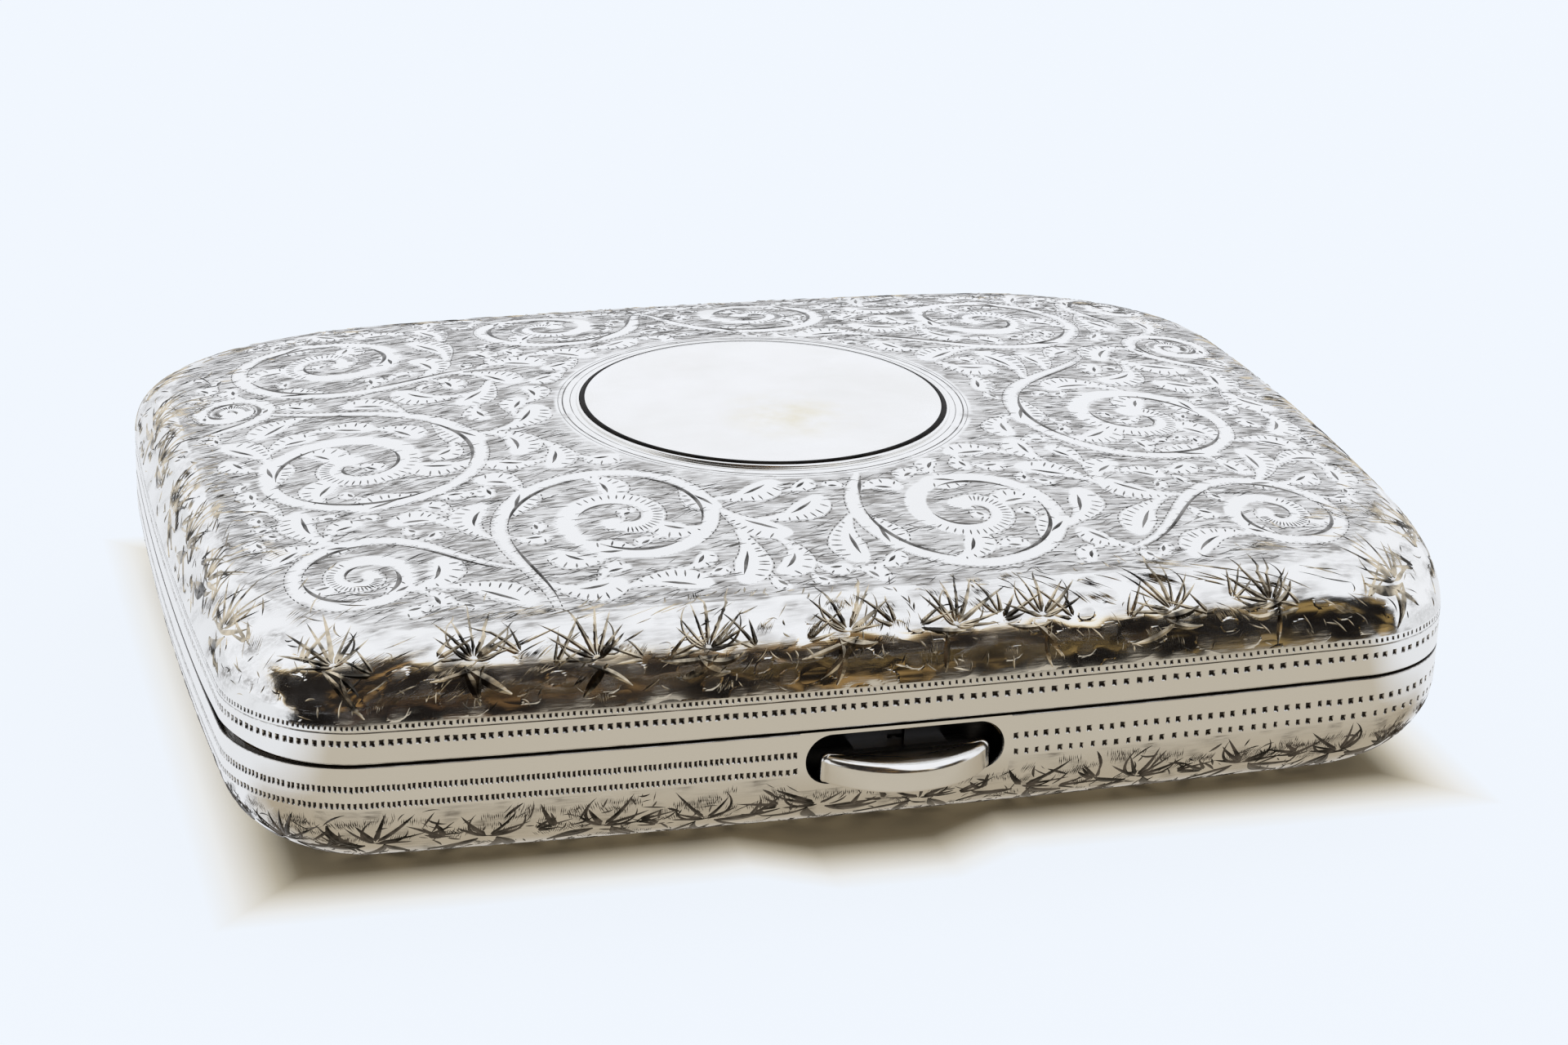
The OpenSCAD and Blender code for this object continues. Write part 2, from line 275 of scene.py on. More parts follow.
def grid_faces(rows, columns, closed, start=0):
    """Quads of a grid of rows x columns points, row by row."""
    j = np.arange(columns if closed else columns - 1)
    k = (j + 1) % columns
    i = np.arange(rows - 1)[:, None] * columns
    return (np.stack([i + j, i + k, i + columns + k, i + columns + j], -1)
            .reshape(-1, 4) + start)


class Sheet:
    """Collects patches of one piece: points, quads and one value per point."""

    def __init__(self):
        self.points, self.faces, self.ground, self.count = [], [], [], 0

    def add(self, points, faces, ground=0.0):
        points = np.asarray(points).reshape(-1, 3)
        self.points.append(points)
        self.faces.append(np.asarray(faces) + self.count)
        self.ground.append(np.broadcast_to(ground, len(points)))
        self.count += len(points)

    def make(self, name, material, body, slot, smooth=True):
        faces = np.vstack(self.faces).astype(np.int32)
        mesh = bpy.data.meshes.new(name)
        mesh.vertices.add(self.count)
        points = (np.vstack(self.points) * MM).astype(np.float32)
        mesh.vertices.foreach_set("co", points.ravel())
        mesh.loops.add(faces.size)
        mesh.loops.foreach_set("vertex_index", faces.ravel())
        mesh.polygons.add(len(faces))
        mesh.polygons.foreach_set("loop_start", np.arange(0, faces.size, 4, dtype=np.int32))
        mesh.polygons.foreach_set("use_smooth", np.full(len(faces), smooth))
        layer = mesh.attributes.new("ground", "FLOAT", "POINT")
        layer.data.foreach_set("value", np.concatenate(self.ground).astype(np.float32))
        mesh.update(calc_edges=True)
        mesh.validate()
        mesh.materials.append(material)
        obj = add_object(name, mesh)
        if body:
            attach(obj, body)
        return obj

# ---- engraving, as flat drawing

PX = 0.1
SPAN_X, SPAN_Y = 48.0, 37.0
LOBE_STEPS = 22


class Leaf:
    """A tapering bright shape left standing in the hatched ground: a line with a half
    width at each point."""

    def __init__(self, line, half):
        self.line, self.half = np.asarray(line, float), np.asarray(half, float)
        self.along = unit(np.gradient(self.line, axis=0))
        self.side = np.c_[-self.along[:, 1], self.along[:, 0]]

    def edge(self, sign, extra):
        return self.line + self.side * (sign * (self.half + extra))[:, None]


def walk(start, heading, length, turn, steps):
    """A line from start that turns by turn(s) radians per step share, s from 0 to 1."""
    s = (np.arange(steps) + 0.5) / steps
    angle = heading + np.cumsum(turn(s)) / steps
    step = length / steps
    moves = np.c_[np.cos(angle), np.sin(angle)] * step
    return np.vstack([start, start + np.cumsum(moves, axis=0)])


def bulb_profile(n, neck, belly, place=0.62):
    s = np.linspace(0, 1, n)
    rise = np.clip(s / place, 0, 1) ** 1.4
    fall = np.sqrt(np.clip(1 - ((s - place) / (1 - place)) ** 2, 0, 1))
    return np.where(s < place, neck + (belly - neck) * rise, belly * fall)


class Drawing:
    """Leaves left standing, and graver cuts by their number of points."""

    def __init__(self):
        self.leaves, self.cuts = [], {}

    def cut(self, line, width, taper="both"):
        """A graver cut along a line: (n, 2) points, full width in the middle."""
        line = np.asarray(line, float)
        s = np.linspace(0, 1, len(line))
        shape = {"both": np.sin(math.pi * np.clip(s, 0.04, 0.96)) ** 0.7,
                 "end": (1 - s) ** 0.6 * np.minimum(s * 8 + 0.25, 1),
                 "blunt": np.minimum(1, np.minimum(s, 1 - s) * 6 + 0.55)}[taper]
        self.cuts.setdefault(len(line), []).append((line, width / 2 * shape))

    def tick(self, root, tip, width):
        self.cut(resample(np.array([root, tip]), 3), width, "blunt")


def resample(line, count):
    run = running(line)
    t = np.linspace(0, run[-1], count)
    return np.c_[np.interp(t, run, line[:, 0]), np.interp(t, run, line[:, 1])]


def paint(leaves):
    """Coverage of the leaves on a raster of PX pixels: 1 on a leaf, 0 on the ground."""
    w, h = int(2 * SPAN_X / PX) + 1, int(2 * SPAN_Y / PX) + 1
    cover = np.zeros((h, w))
    for leaf in leaves:
        run = np.linalg.norm(np.diff(leaf.line, axis=0), axis=1).sum()
        n = max(int(run / 0.12), 4)
        line = resample(leaf.line, n)
        half = np.interp(np.linspace(0, 1, n), np.linspace(0, 1, len(leaf.half)), leaf.half)
        for (x, y), r in zip(line, half):
            j0, j1 = int((x - r + SPAN_X) / PX) - 1, int((x + r + SPAN_X) / PX) + 3
            i0, i1 = int((y - r + SPAN_Y) / PX) - 1, int((y + r + SPAN_Y) / PX) + 3
            i0, j0 = max(i0, 0), max(j0, 0)
            if i1 <= i0 or j1 <= j0 or i0 >= h or j0 >= w:
                continue
            yy, xx = np.mgrid[i0:min(i1, h), j0:min(j1, w)]
            d = np.hypot(xx * PX - SPAN_X - x, yy * PX - SPAN_Y - y)
            part = np.clip((r - d) / PX + 0.5, 0, 1)
            cover[i0:i1, j0:j1] = np.maximum(cover[i0:i1, j0:j1], part)
    return cover


def sample(raster, x, y, cell=PX):
    """A raster's value at x and y, between its points."""
    j = np.clip((x + SPAN_X) / cell, 0, raster.shape[1] - 1.001)
    i = np.clip((y + SPAN_Y) / cell, 0, raster.shape[0] - 1.001)
    i0, j0 = i.astype(int), j.astype(int)
    fi, fj = i - i0, j - j0
    return ((raster[i0, j0] * (1 - fj) + raster[i0, j0 + 1] * fj) * (1 - fi)
            + (raster[i0 + 1, j0] * (1 - fj) + raster[i0 + 1, j0 + 1] * fj) * fi)


def lobe(start, heading, length, width, curl):
    """A leaf that swells to a bulb and curls."""
    line = walk(start, heading, length, lambda s: curl * (0.35 + 1.3 * s), LOBE_STEPS)
    return Leaf(line, bulb_profile(LOBE_STEPS + 1, 0.18 * width, width))


def acanthus(art, leaf, length, curl):
    """Adds a lobe: its ticks run along the outer side."""
    art.leaves.append(leaf)
    outer = -np.sign(curl)
    out = leaf.side * (outer * leaf.half)[:, None]
    count = int(length * 0.62 / 0.5)
    for i in range(count):
        k = int((0.22 + 0.6 * i / max(count - 1, 1)) * LOBE_STEPS)
        art.tick(leaf.line[k] + out[k] * 0.86,
                 leaf.line[k] + out[k] * 0.28 + leaf.along[k] * 0.1, 0.21)
    # the hook: a dark crescent that follows the inner side into the bulb
    inner = slice(int(LOBE_STEPS * 0.45), int(LOBE_STEPS * 0.92))
    art.cut(resample(leaf.line[inner] - out[inner] * 0.42, 9), 0.36)


def scroll(art, cx, cy, radius, start, hand):
    """A spiral stem from its outer end to the eye, with lobes between its turns."""
    n, turns, eye = 150, 1.9, 0.13
    t = np.linspace(0, 1, n)
    r = radius * (eye + (1 - eye) * (1 - t) ** 1.25)
    a = math.radians(start) + hand * turns * 2 * math.pi * t
    line = np.c_[cx + r * np.cos(a), cy + r * np.sin(a)]
    half = 0.52 + 0.32 * np.clip((t - 0.45) / 0.3, 0, 1) * (radius / 9)
    half = half * np.sqrt(np.clip((1 - t) * 40 + 0.3, 0, 1))
    stem = Leaf(line, half)
    bulb = Leaf(line[-9:], np.linspace(0.6, 0.95, 9) * max(radius / 9, 0.75))
    art.leaves += [stem, bulb]
    # long dark crescents on the inner side of the stem
    for k0, k1 in ((0.02, 0.13), (0.17, 0.30), (0.35, 0.46), (0.56, 0.70), (0.78, 0.93)):
        inner = stem.edge(hand, 0.14)[int(k0 * n):int(k1 * n)]
        art.cut(resample(inner, 17), 0.44 if k0 < 0.5 else 0.32)
    # lobes between the outer and the inner turn
    lobes = max(int(radius * 0.62), 3)
    for i in range(lobes):
        k = int(n * (0.03 + 0.46 * i / lobes))
        heading = math.atan2(stem.along[k, 1], stem.along[k, 0]) + hand * 0.55
        size = radius * (0.58 - 0.18 * i / lobes)
        curl = hand * (1.9 if i % 2 else -0.9)
        acanthus(art, lobe(line[k] + stem.side[k] * hand * 0.2, heading, size,
                           0.12 * radius + 0.12, curl), size, curl)
    # ticks across the inner spiral
    for k in range(int(n * 0.60), int(n * 0.93), 2):
        out = stem.side[k] * hand * half[k]
        art.tick(line[k] - out * 0.8, line[k] + out * 0.05, 0.19)
    return stem


def tail(art, stem, radius, hand, length):
    """The stem that leads into a scroll's outer end, in an S that straightens and turns."""
    back = math.atan2(-stem.along[0, 1], -stem.along[0, 0])
    line = walk(stem.line[0], back, length,
                lambda s: -hand * length / radius * (1 - 2.1 * s), 40)
    line = line[np.cumprod(allowed(line[:, 0], line[:, 1])).astype(bool)]
    if len(line) > 8:
        leaf = Leaf(line, np.linspace(0.5, 0.18, len(line)))
        art.leaves.append(leaf)
        art.cut(resample(leaf.edge(-hand, 0.14)[2:-4], 17), 0.34)


def allowed(x, y):
    """Where the scrollwork may lie: on the top, clear of the cartouche."""
    a, b, r = HALF_W - MARGIN_X, HALF_D - MARGIN_Y, MARGIN_R
    dx, dy = np.maximum(np.abs(x) - (a - r), 0), np.maximum(np.abs(y) - (b - r), 0)
    return (np.hypot(dx, dy) < r) & (np.hypot(x, y) > DISC_R + MARGIN_DISC)


def fill_with_lobes(art, cover, draw, rounds):
    """Grows lobes from the stems into whatever ground is still free, large ones first."""
    for length, half, tries in rounds:
        for _ in range(tries):
            parent = art.leaves[draw.integers(len(art.leaves))]
            k = draw.integers(len(parent.line))
            side = draw.choice((-1, 1))
            spread = draw.uniform(0.25, 0.8)
            curl = draw.uniform(0.9, 2.3) * draw.choice((-1, 1, 1)) * side
            size = length * draw.uniform(0.85, 1.15)
            start = parent.line[k] + parent.side[k] * side * (parent.half[k] + 0.12)
            heading = math.atan2(parent.along[k, 1], parent.along[k, 0]) + side * spread
            leaf = lobe(start, heading, size, half, curl)
            rim = np.vstack([leaf.edge(1, 0.3)[5:], leaf.edge(-1, 0.3)[5:], leaf.line[3:],
                             leaf.line[-1:] + leaf.along[-1:] * (half * 0.4)])
            if allowed(rim[:, 0], rim[:, 1]).all() and (
                    sample(cover, rim[:, 0], rim[:, 1]) < 0.15).all():
                acanthus(art, leaf, size, curl)
                cover[:] = np.maximum(cover, paint([leaf]))


def outline_dots(art, cover, pitch, gap, length, width):
    """Small cuts all along the leaves' outlines, where no other leaf covers them."""
    for leaf in art.leaves:
        for sign in (-1, 1):
            edge = leaf.edge(sign, gap)
            dots = resample(edge, max(int(running(edge)[-1] / pitch), 2))
            reach = unit(np.gradient(dots, axis=0)) * length / 2
            free = sample(cover, dots[:, 0], dots[:, 1]) < 0.3
            for p, q in zip(dots[free], reach[free]):
                art.cut(np.array([p - q, p, p + q]), width, "blunt")


# Scrolls: centre, radius, angle of the outer end, hand, length of the tail
SCROLLS = (
    (-33.0, -4.5, 10.6, 62, -1, 11), (-35.8, -23.8, 5.8, 60, 1, 11),
    (-16.0, -20.0, 9.2, 185, -1, 12), (9.8, -22.8, 8.9, 160, 1, 9),
    (29.0, -6.2, 10.4, 135, 1, 11), (33.2, -25.0, 6.2, 120, -1, 15),
    (-31.0, 20.0, 8.8, -80, -1, 10), (-12.2, 24.6, 7.2, -20, -1, 7),
    (5.6, 24.6, 7.2, 200, 1, 7), (24.8, 20.2, 9.0, 255, 1, 11),
    (39.4, 12.5, 4.2, 240, -1, 6), (38.6, 25.6, 4.4, 200, -1, 6),
    (-40.5, 11.4, 3.4, -60, 1, 5))


def draw_top():
    art = Drawing()
    for cx, cy, radius, start, hand, length in SCROLLS:
        stem = scroll(art, cx, cy, radius, start, hand)
        tail(art, stem, radius, hand, length)
    cover = paint(art.leaves)
    fill_with_lobes(art, cover, np.random.default_rng(11),
                    ((6.6, 1.35, 1500), (5.2, 1.2, 3000), (4.0, 1.0, 4000),
                     (2.9, 0.78, 5000), (2.0, 0.55, 5000)))
    return art, cover

# ---- ground hatching and edge sprays


def hatch_ground(art, cover, draw, count):
    """Short strokes of the graver all over the ground, nearly in line with the long side."""
    x = draw.uniform(-HALF_W, HALF_W, count)
    y = draw.uniform(-HALF_D, HALF_D, count)
    keep = allowed(x, y) & (sample(cover, x, y) < 0.1)
    for px, py in zip(x[keep], y[keep]):
        a = draw.normal(0.16, 0.22)
        reach = draw.uniform(0.35, 0.85)
        s = np.linspace(-1, 1, 5)[:, None] * reach
        line = np.array([px, py]) + s * np.array([math.cos(a), math.sin(a)])
        line[:, 1] += draw.uniform(-0.1, 0.1) * (1 - np.linspace(-1, 1, 5) ** 2)
        art.cut(line, draw.uniform(0.09, 0.2))


def settle(surface, roots, lines):
    """Turns lines drawn flat round their roots, in mm across and along v, into u and v."""
    def spot(u, v):
        return surface.at(u, v)[0]

    def slopes(at):
        u, v = at.T
        return ((spot(u + 0.1, v) - spot(u - 0.1, v)) / 0.2,
                (spot(u, v + 0.1) - spot(u, v - 0.1)) / 0.2)

    at, here = roots.copy(), np.zeros_like(roots)
    lean = slopes(np.c_[roots[:, 0], np.full(len(roots), 1.0)])[0]
    placed = []
    for k in range(lines.shape[1]):
        for _ in range(2):
            pu, pv = slopes(at)
            normal = unit(np.cross(pu, pv))
            e1 = unit(lean - (lean * normal).sum(1)[:, None] * normal)
            e2 = np.cross(normal, e1)
            table = np.array([[(p * e).sum(1) for p in (pu, pv)] for e in (e1, e2)])
            move = (lines[:, k] - here) / 2
            at = at + np.linalg.solve(table.transpose(2, 0, 1), move[..., None])[..., 0]
        here = lines[:, k]
        placed.append(at)
    return np.stack(placed, 1)


class Sprays:
    """Leaf sprays along an edge, drawn flat round their roots and then laid on a surface."""

    def __init__(self, draw):
        self.draw = draw
        self.marks = {}

    def mark(self, root, start, heading, length, bend, width, taper="end", n=8):
        line = walk(np.array(start, float), heading, length, lambda s: bend + 0 * s, n)
        self.marks.setdefault((n, taper), []).append((root, line, width))

    def fan(self, root, start, heading, spread, count, length, width):
        """Tapered cuts that open from one point."""
        for i in range(count):
            place = 2 * i / (count - 1) - 1
            a = heading + spread * place + self.draw.normal(0, 0.07)
            size = length * (1 - 0.4 * abs(place)) * self.draw.uniform(0.75, 1.15)
            bend = self.draw.normal(0, 0.12) - 0.2 * place
            first = np.array(start) + 0.3 * np.array([math.cos(a), math.sin(a)])
            self.mark(root, first, a, size, bend, width * self.draw.uniform(0.75, 1.25))

    def row(self, around, root, size, pitch, opens, width, blades):
        """Fans of that size rooted near v = root, open away from the mouth (opens 1) or
        towards it (-1), with smaller ones, stems and broad leaves between."""
        count = int(around / pitch)
        for i in range(count):
            at = (i + self.draw.uniform(0.35, 0.65)) * around / count
            spot = (at, root + self.draw.uniform(-0.4, 0.4))
            up = opens * (math.pi / 2) + self.draw.normal(0, 0.25)
            self.fan(spot, (0, 0), up, 1.3, blades, size, width)
            for side in (-1, 1):
                aside = (side * self.draw.uniform(2.4, 3.6), -opens * self.draw.uniform(-0.4, 0.8))
                self.fan(spot, aside, up + side * 0.9, 0.5, 3, size * 0.7, width * 0.9)
                self.mark(spot, (0, 0), up + side * 1.7, self.draw.uniform(3.2, 4.6),
                          side * -2.2, width * 0.75, n=16)
                for tilt in (2.1, 2.7):
                    self.mark(spot, (side * 0.7, -opens * 0.4), up + side * tilt,
                              self.draw.uniform(2.8, 4.6), side * self.draw.uniform(-1.6, 1.2),
                              width * self.draw.uniform(1.0, 1.9), "both", n=12)

    def lay(self, art, surface):
        for (_, taper), marks in sorted(self.marks.items()):
            roots = np.array([root for root, _, _ in marks], float)
            lines = settle(surface, roots, np.array([line for _, line, _ in marks]))
            for line, (_, _, width) in zip(lines, marks):
                art.cut(line, width, taper)


def hatch_patches(art, around, low, high, count, draw):
    """Patches of close parallel strokes that run down the edge."""
    for _ in range(count):
        u, v = draw.uniform(0, around), draw.uniform(low, high)
        slant = draw.normal(0, 0.25)
        for i in range(draw.integers(6, 15)):
            reach = draw.uniform(0.2, 0.5)
            s = np.linspace(-1, 1, 3)[:, None] * reach
            middle = np.array([u + 0.15 * i, v + draw.normal(0, 0.1)])
            art.cut(middle + s * np.array([math.sin(slant), math.cos(slant)]),
                    draw.uniform(0.07, 0.13))


def hatch_edge(art, around, low, high, density, draw, size=1.0):
    """Loose slanting strokes between the sprays."""
    count = int(around * (high - low) * density)
    for _ in range(count):
        u, v = draw.uniform(0, around), draw.uniform(low, high)
        a = draw.normal(0.9, 0.5) * draw.choice((-1, 1))
        bend = draw.normal(0, 0.6)
        line = walk(np.array([u, v]), a, size * draw.uniform(0.5, 1.3),
                    lambda s: bend + 0 * s, 6)
        art.cut(line, size * draw.uniform(0.08, 0.2))


def carve(name, art, place, keep, material, body, slot, steep=0.3):
    """Makes a drawing's cuts as closed slivers of metal with a low ridge."""
    sheet = Sheet()
    for n, cuts in sorted(art.cuts.items()):
        lines = np.array([line for line, _ in cuts])
        half = np.array([h for _, h in cuts])
        good = keep(lines[..., 0], lines[..., 1]).all(axis=1)
        lines, half = lines[good], half[good]
        if not len(lines):
            continue
        points, normals = place(lines[..., 0], lines[..., 1])
        side = unit(np.cross(normals, np.gradient(points, axis=1))) * half[..., None]
        foot = points - normals * FOOT
        ridge = points + normals * np.clip(half * steep, RIDGE_LOW, RIDGE_HIGH)[..., None]
        rows = np.stack([foot - side, ridge, foot + side], 2)
        faces = [[a + k, b + k, b + (k + 1) % 3, a + (k + 1) % 3]
                 for a, b in ((3 * i, 3 * i + 3) for i in range(n - 1)) for k in range(3)]
        base = (np.arange(len(lines)) * 3 * n)[:, None, None]
        sheet.add(rows, (np.array(faces)[None] + base).reshape(-1, 4))
    return sheet.make(name, material, body, slot, smooth=False)


# ---- materials


class Nodes:
    """A node tree, with short calls for the nodes used here."""

    def __init__(self, tree, coords):
        self.tree = tree
        self.coords = self.node("ShaderNodeTexCoord", {}, coords)

    def put(self, value, socket):
        if isinstance(value, bpy.types.NodeSocket):
            self.tree.links.new(value, socket)
        else:
            socket.default_value = (*value, 1) if socket.type == "RGBA" else value

    def node(self, kind, inputs, output=0, **settings):
        """A new node's output, once its settings and inputs are filled in."""
        made = self.tree.nodes.new(kind)
        for key, value in settings.items():
            setattr(made, key, value)
        for key, value in inputs.items():
            self.put(value, made.inputs[key])
        return made.outputs[output]

    def grain(self, vector, scale, detail, rough=0.5):
        return self.node("ShaderNodeTexNoise", {"Vector": vector, "Scale": scale,
                                                "Detail": detail, "Roughness": rough}, "Fac")

    def noise(self, scale, detail=3.0, stretch=(1, 1, 1)):
        """Noise with a grain of 1/scale metres, stretched along an axis by its factor."""
        spread = self.node("ShaderNodeMapping", {"Vector": self.coords,
                                                 "Scale": [scale / s for s in stretch]})
        return self.grain(spread, 1.0, detail, 0.55)

    def ramp(self, value, low, high, a=0.0, b=1.0, **settings):
        """a below low, b above high and a slope between."""
        return self.node("ShaderNodeMapRange", {
            "Value": value, "From Min": low, "From Max": high, "To Min": a, "To Max": b},
            "Result", **settings)

    def math(self, operation, a, b=0.0):
        return self.node("ShaderNodeMath", {0: a, 1: b}, operation=operation)

    def times(self, a, b):
        return self.math("MULTIPLY", a, b)

    def plus(self, a, b):
        return self.math("ADD", a, b)

    def minus(self, a, b):
        return self.math("SUBTRACT", a, b)

    def mix(self, factor, a, b, **settings):
        return self.node("ShaderNodeMix", {0: factor, 6: a, 7: b}, 2, data_type="RGBA",
                         **settings)

    def split(self, vector):
        """A vector's three parts."""
        return self.node("ShaderNodeSeparateXYZ", {0: vector}, slice(None))

    def normal(self):
        return self.node("ShaderNodeTexCoord", {}, "Normal")

    def ray(self, kind):
        return self.node("ShaderNodeLightPath", {}, f"Is {kind} Ray")


class Look(Nodes):
    """A material: its node tree and its shader."""

    def __init__(self, name, metallic=1.0, roughness=0.2):
        self.material = bpy.data.materials.new(name)
        self.material.use_nodes = True
        super().__init__(self.material.node_tree, "Object")
        self.shader = self.tree.nodes["Principled BSDF"]
        self.set(Metallic=metallic, Roughness=roughness)

    def set(self, **values):
        for key, value in values.items():
            self.put(value, self.shader.inputs[key.replace("_", " ")])

    def bump(self, height, strength, distance):
        self.set(Normal=self.node("ShaderNodeBump", {
            "Strength": strength, "Distance": distance, "Height": height}))


def engraved_silver():
    """Silver with a bright polish, dark where the ground is hatched and in punched pits."""
    look = Look("engraved_silver")
    mark = look.node("ShaderNodeAttribute", {}, "Fac", attribute_name="ground")
    ground = look.ramp(mark, 0.1, 0.9)
    streak = look.noise(4200, 2.0, (7.0, 1.0, 1.0))
    tone = look.times(look.ramp(streak, 0.35, 0.62, 0.12, 1.0),
                      look.ramp(look.noise(420, 2.0), 0.32, 0.66, 0.35, 1.15))
    bright = look.mix(look.noise(60, 3.0), (0.93, 0.925, 0.91), (0.88, 0.875, 0.85))
    worked = look.mix(look.times(ground, tone), bright, (0.31, 0.295, 0.275))
    # marks above 1.2 turn near black: the pits' floors and the fine groove, and painted shade on
    # the mouth's rounded edge along the seam and on the sheet's thickness inside the opening
    look.set(Base_Color=look.mix(look.ramp(mark, 1.2, 1.9), worked, (0.035, 0.03, 0.025)),
             Roughness=look.plus(look.ramp(ground, 0, 1, 0.09, 0.24),
                                 look.ramp(look.noise(150, 4.0), 0.3, 0.7, -0.03, 0.05)))
    height = look.plus(look.times(streak, ground), look.times(look.noise(260, 2.0), 0.6))
    ripple = look.times(look.noise(430, 1.0), look.ramp(mark, 0.05, 0.25, 0.2, 2.0))
    look.bump(look.plus(height, ripple), 0.35, 0.00006)
    return look.material


def cut_silver(name, dark, light, roughness):
    """The graver's cuts: bare metal, more or less dulled with old polish; also the near-black
    painted shade at the cartouche's foot.
    """
    look = Look(name, roughness=roughness)
    look.set(Base_Color=look.mix(look.ramp(look.noise(700, 2.0), 0.38, 0.62), dark, light))
    return look.material


def plain_silver(name="plain_silver", stain=None):
    """Plain polished silver with faint wear scratches, and a faint stain at a point."""
    look = Look(name)
    scratch = look.noise(3000, 2.0, (18.0, 1.0, 1.0))
    cloud = look.noise(110, 4.0)
    tone = look.mix(look.ramp(cloud, 0.35, 0.7), (0.93, 0.925, 0.91), (0.87, 0.86, 0.83))
    if stain:
        away = look.node("ShaderNodeVectorMath", {0: look.coords, 1: stain}, "Value",
                         operation="DISTANCE")
        spot = look.times(look.ramp(away, 0.0005, 0.0060, 1.0, 0.0),
                          look.ramp(look.noise(320, 3.0), 0.35, 0.65))
        tone = look.mix(spot, tone, (0.84, 0.79, 0.64))
    look.set(Base_Color=tone,
             Roughness=look.plus(look.ramp(cloud, 0.3, 0.7, 0.14, 0.22),
                                 look.ramp(scratch, 0.6, 0.75, 0.0, 0.08)))
    look.bump(scratch, 0.12, 0.00002)
    return look.material


def gilt():
    """Thin gilding, rubbed and mottled, over silver."""
    look = Look("gilt_silver")
    wear = look.noise(60, 3.0)
    fine = look.noise(1600, 2.0, (6.0, 1.0, 1.0))
    rubbed = look.mix(look.ramp(wear, 0.38, 0.75), (0.87, 0.69, 0.38), (0.87, 0.79, 0.61))
    # faces turned outwards, behind the shells, are coloured near black: painted shade of the gap
    # between the shells and the frame
    outward = look.node("ShaderNodeVectorMath", {0: look.coords, 1: look.normal()}, "Value",
                        operation="DOT_PRODUCT")
    look.set(Base_Color=look.mix(look.ramp(outward, 0.022, 0.028), rubbed, (0.03, 0.025, 0.02)),
             Roughness=look.plus(look.ramp(wear, 0.3, 0.7, 0.24, 0.34),
                                 look.ramp(fine, 0.4, 0.7, 0.0, 0.08)))
    look.bump(fine, 0.2, 0.00003)
    return look.material


def steel():
    """Spring steel, coloured near black: painted shade of the opening it lies behind."""
    look = Look("spring_steel")
    brush = look.noise(2600, 3.0, (16.0, 1.0, 1.0))
    look.set(Base_Color=look.mix(look.ramp(look.noise(300, 4.0), 0.45, 0.75),
                                 (0.030, 0.030, 0.032), (0.016, 0.013, 0.010)),
             Roughness=look.ramp(brush, 0.3, 0.7, 0.24, 0.42))
    look.bump(brush, 0.3, 0.00003)
    return look.material


def well_look():
    """Near black, painted shade for the inside of the opening, but for faces turned down, where
    the gilding shows.
    """
    look = Look("silver_well", roughness=0.4)
    up = look.split(look.normal())[2]
    look.set(Base_Color=look.mix(look.ramp(up, -0.3, -0.7), (0.008, 0.007, 0.006),
                                 (0.85, 0.60, 0.30)))
    return look.material


ENGRAVED, PLAIN, GILT, STEEL = engraved_silver(), plain_silver(), gilt(), steel()
STAINED = plain_silver("plain_silver_stained", (0.0008, -0.005, 0.023))
WELL = well_look()
# painted shade: near black, for the step round the cartouche's foot
JOINT_SHADE = cut_silver("silver_joint_shade", (0.004, 0.0035, 0.003), (0.016, 0.013, 0.010), 0.6)
CUT = cut_silver("cut_silver_dull", (0.045, 0.042, 0.038), (0.25, 0.24, 0.225), 0.35)
BRIGHT_CUT = cut_silver("cut_silver_bright", (0.05, 0.045, 0.038), (0.70, 0.61, 0.46), 0.2)
BASE_CUT = cut_silver("cut_silver_base", (0.02, 0.018, 0.015), (0.14, 0.125, 0.115), 0.3)

# ---- shells


def u_at_x(surface, x):
    """u of the front's points at x."""
    side = slice(FRONT_START, FRONT_START + LONG_STEPS + 1)
    return np.interp(x, surface.points[4, side, 0], surface.u[side])


def v_at_z(surface, z):
    """v of the front's points at height z."""
    column = surface.points[:, FRONT, 2]
    order = np.argsort(column)
    return np.interp(z, column[order], surface.v[order])


def back_u(surface, x):
    """u of the back point at x, from the front's: the outline is the same there."""
    return surface.around / 2 - u_at_x(surface, x)


# The cut-outs for the hinge: half their width, and their depth from the mouth
NOTCH_X = HINGE_HALF + 0.23
NOTCH_V = 1.34
# Rows of the mouth's rounded edge, marked near black as painted shade of the seam, and of a
# fine groove: v, how deep the row is sunk, and its mark
MOUTH_ROWS = ((0.0, MOUTH_ROUND, 2), (0.03, 0.03, 2), (0.08, 0, 0.8), (0.13, 0, 0),
              (NOTCH_V, 0, 0))
GROOVE_ROWS = ((2.38, 0, 0), (2.45, 0.05, 1.6), (2.52, 0, 0))


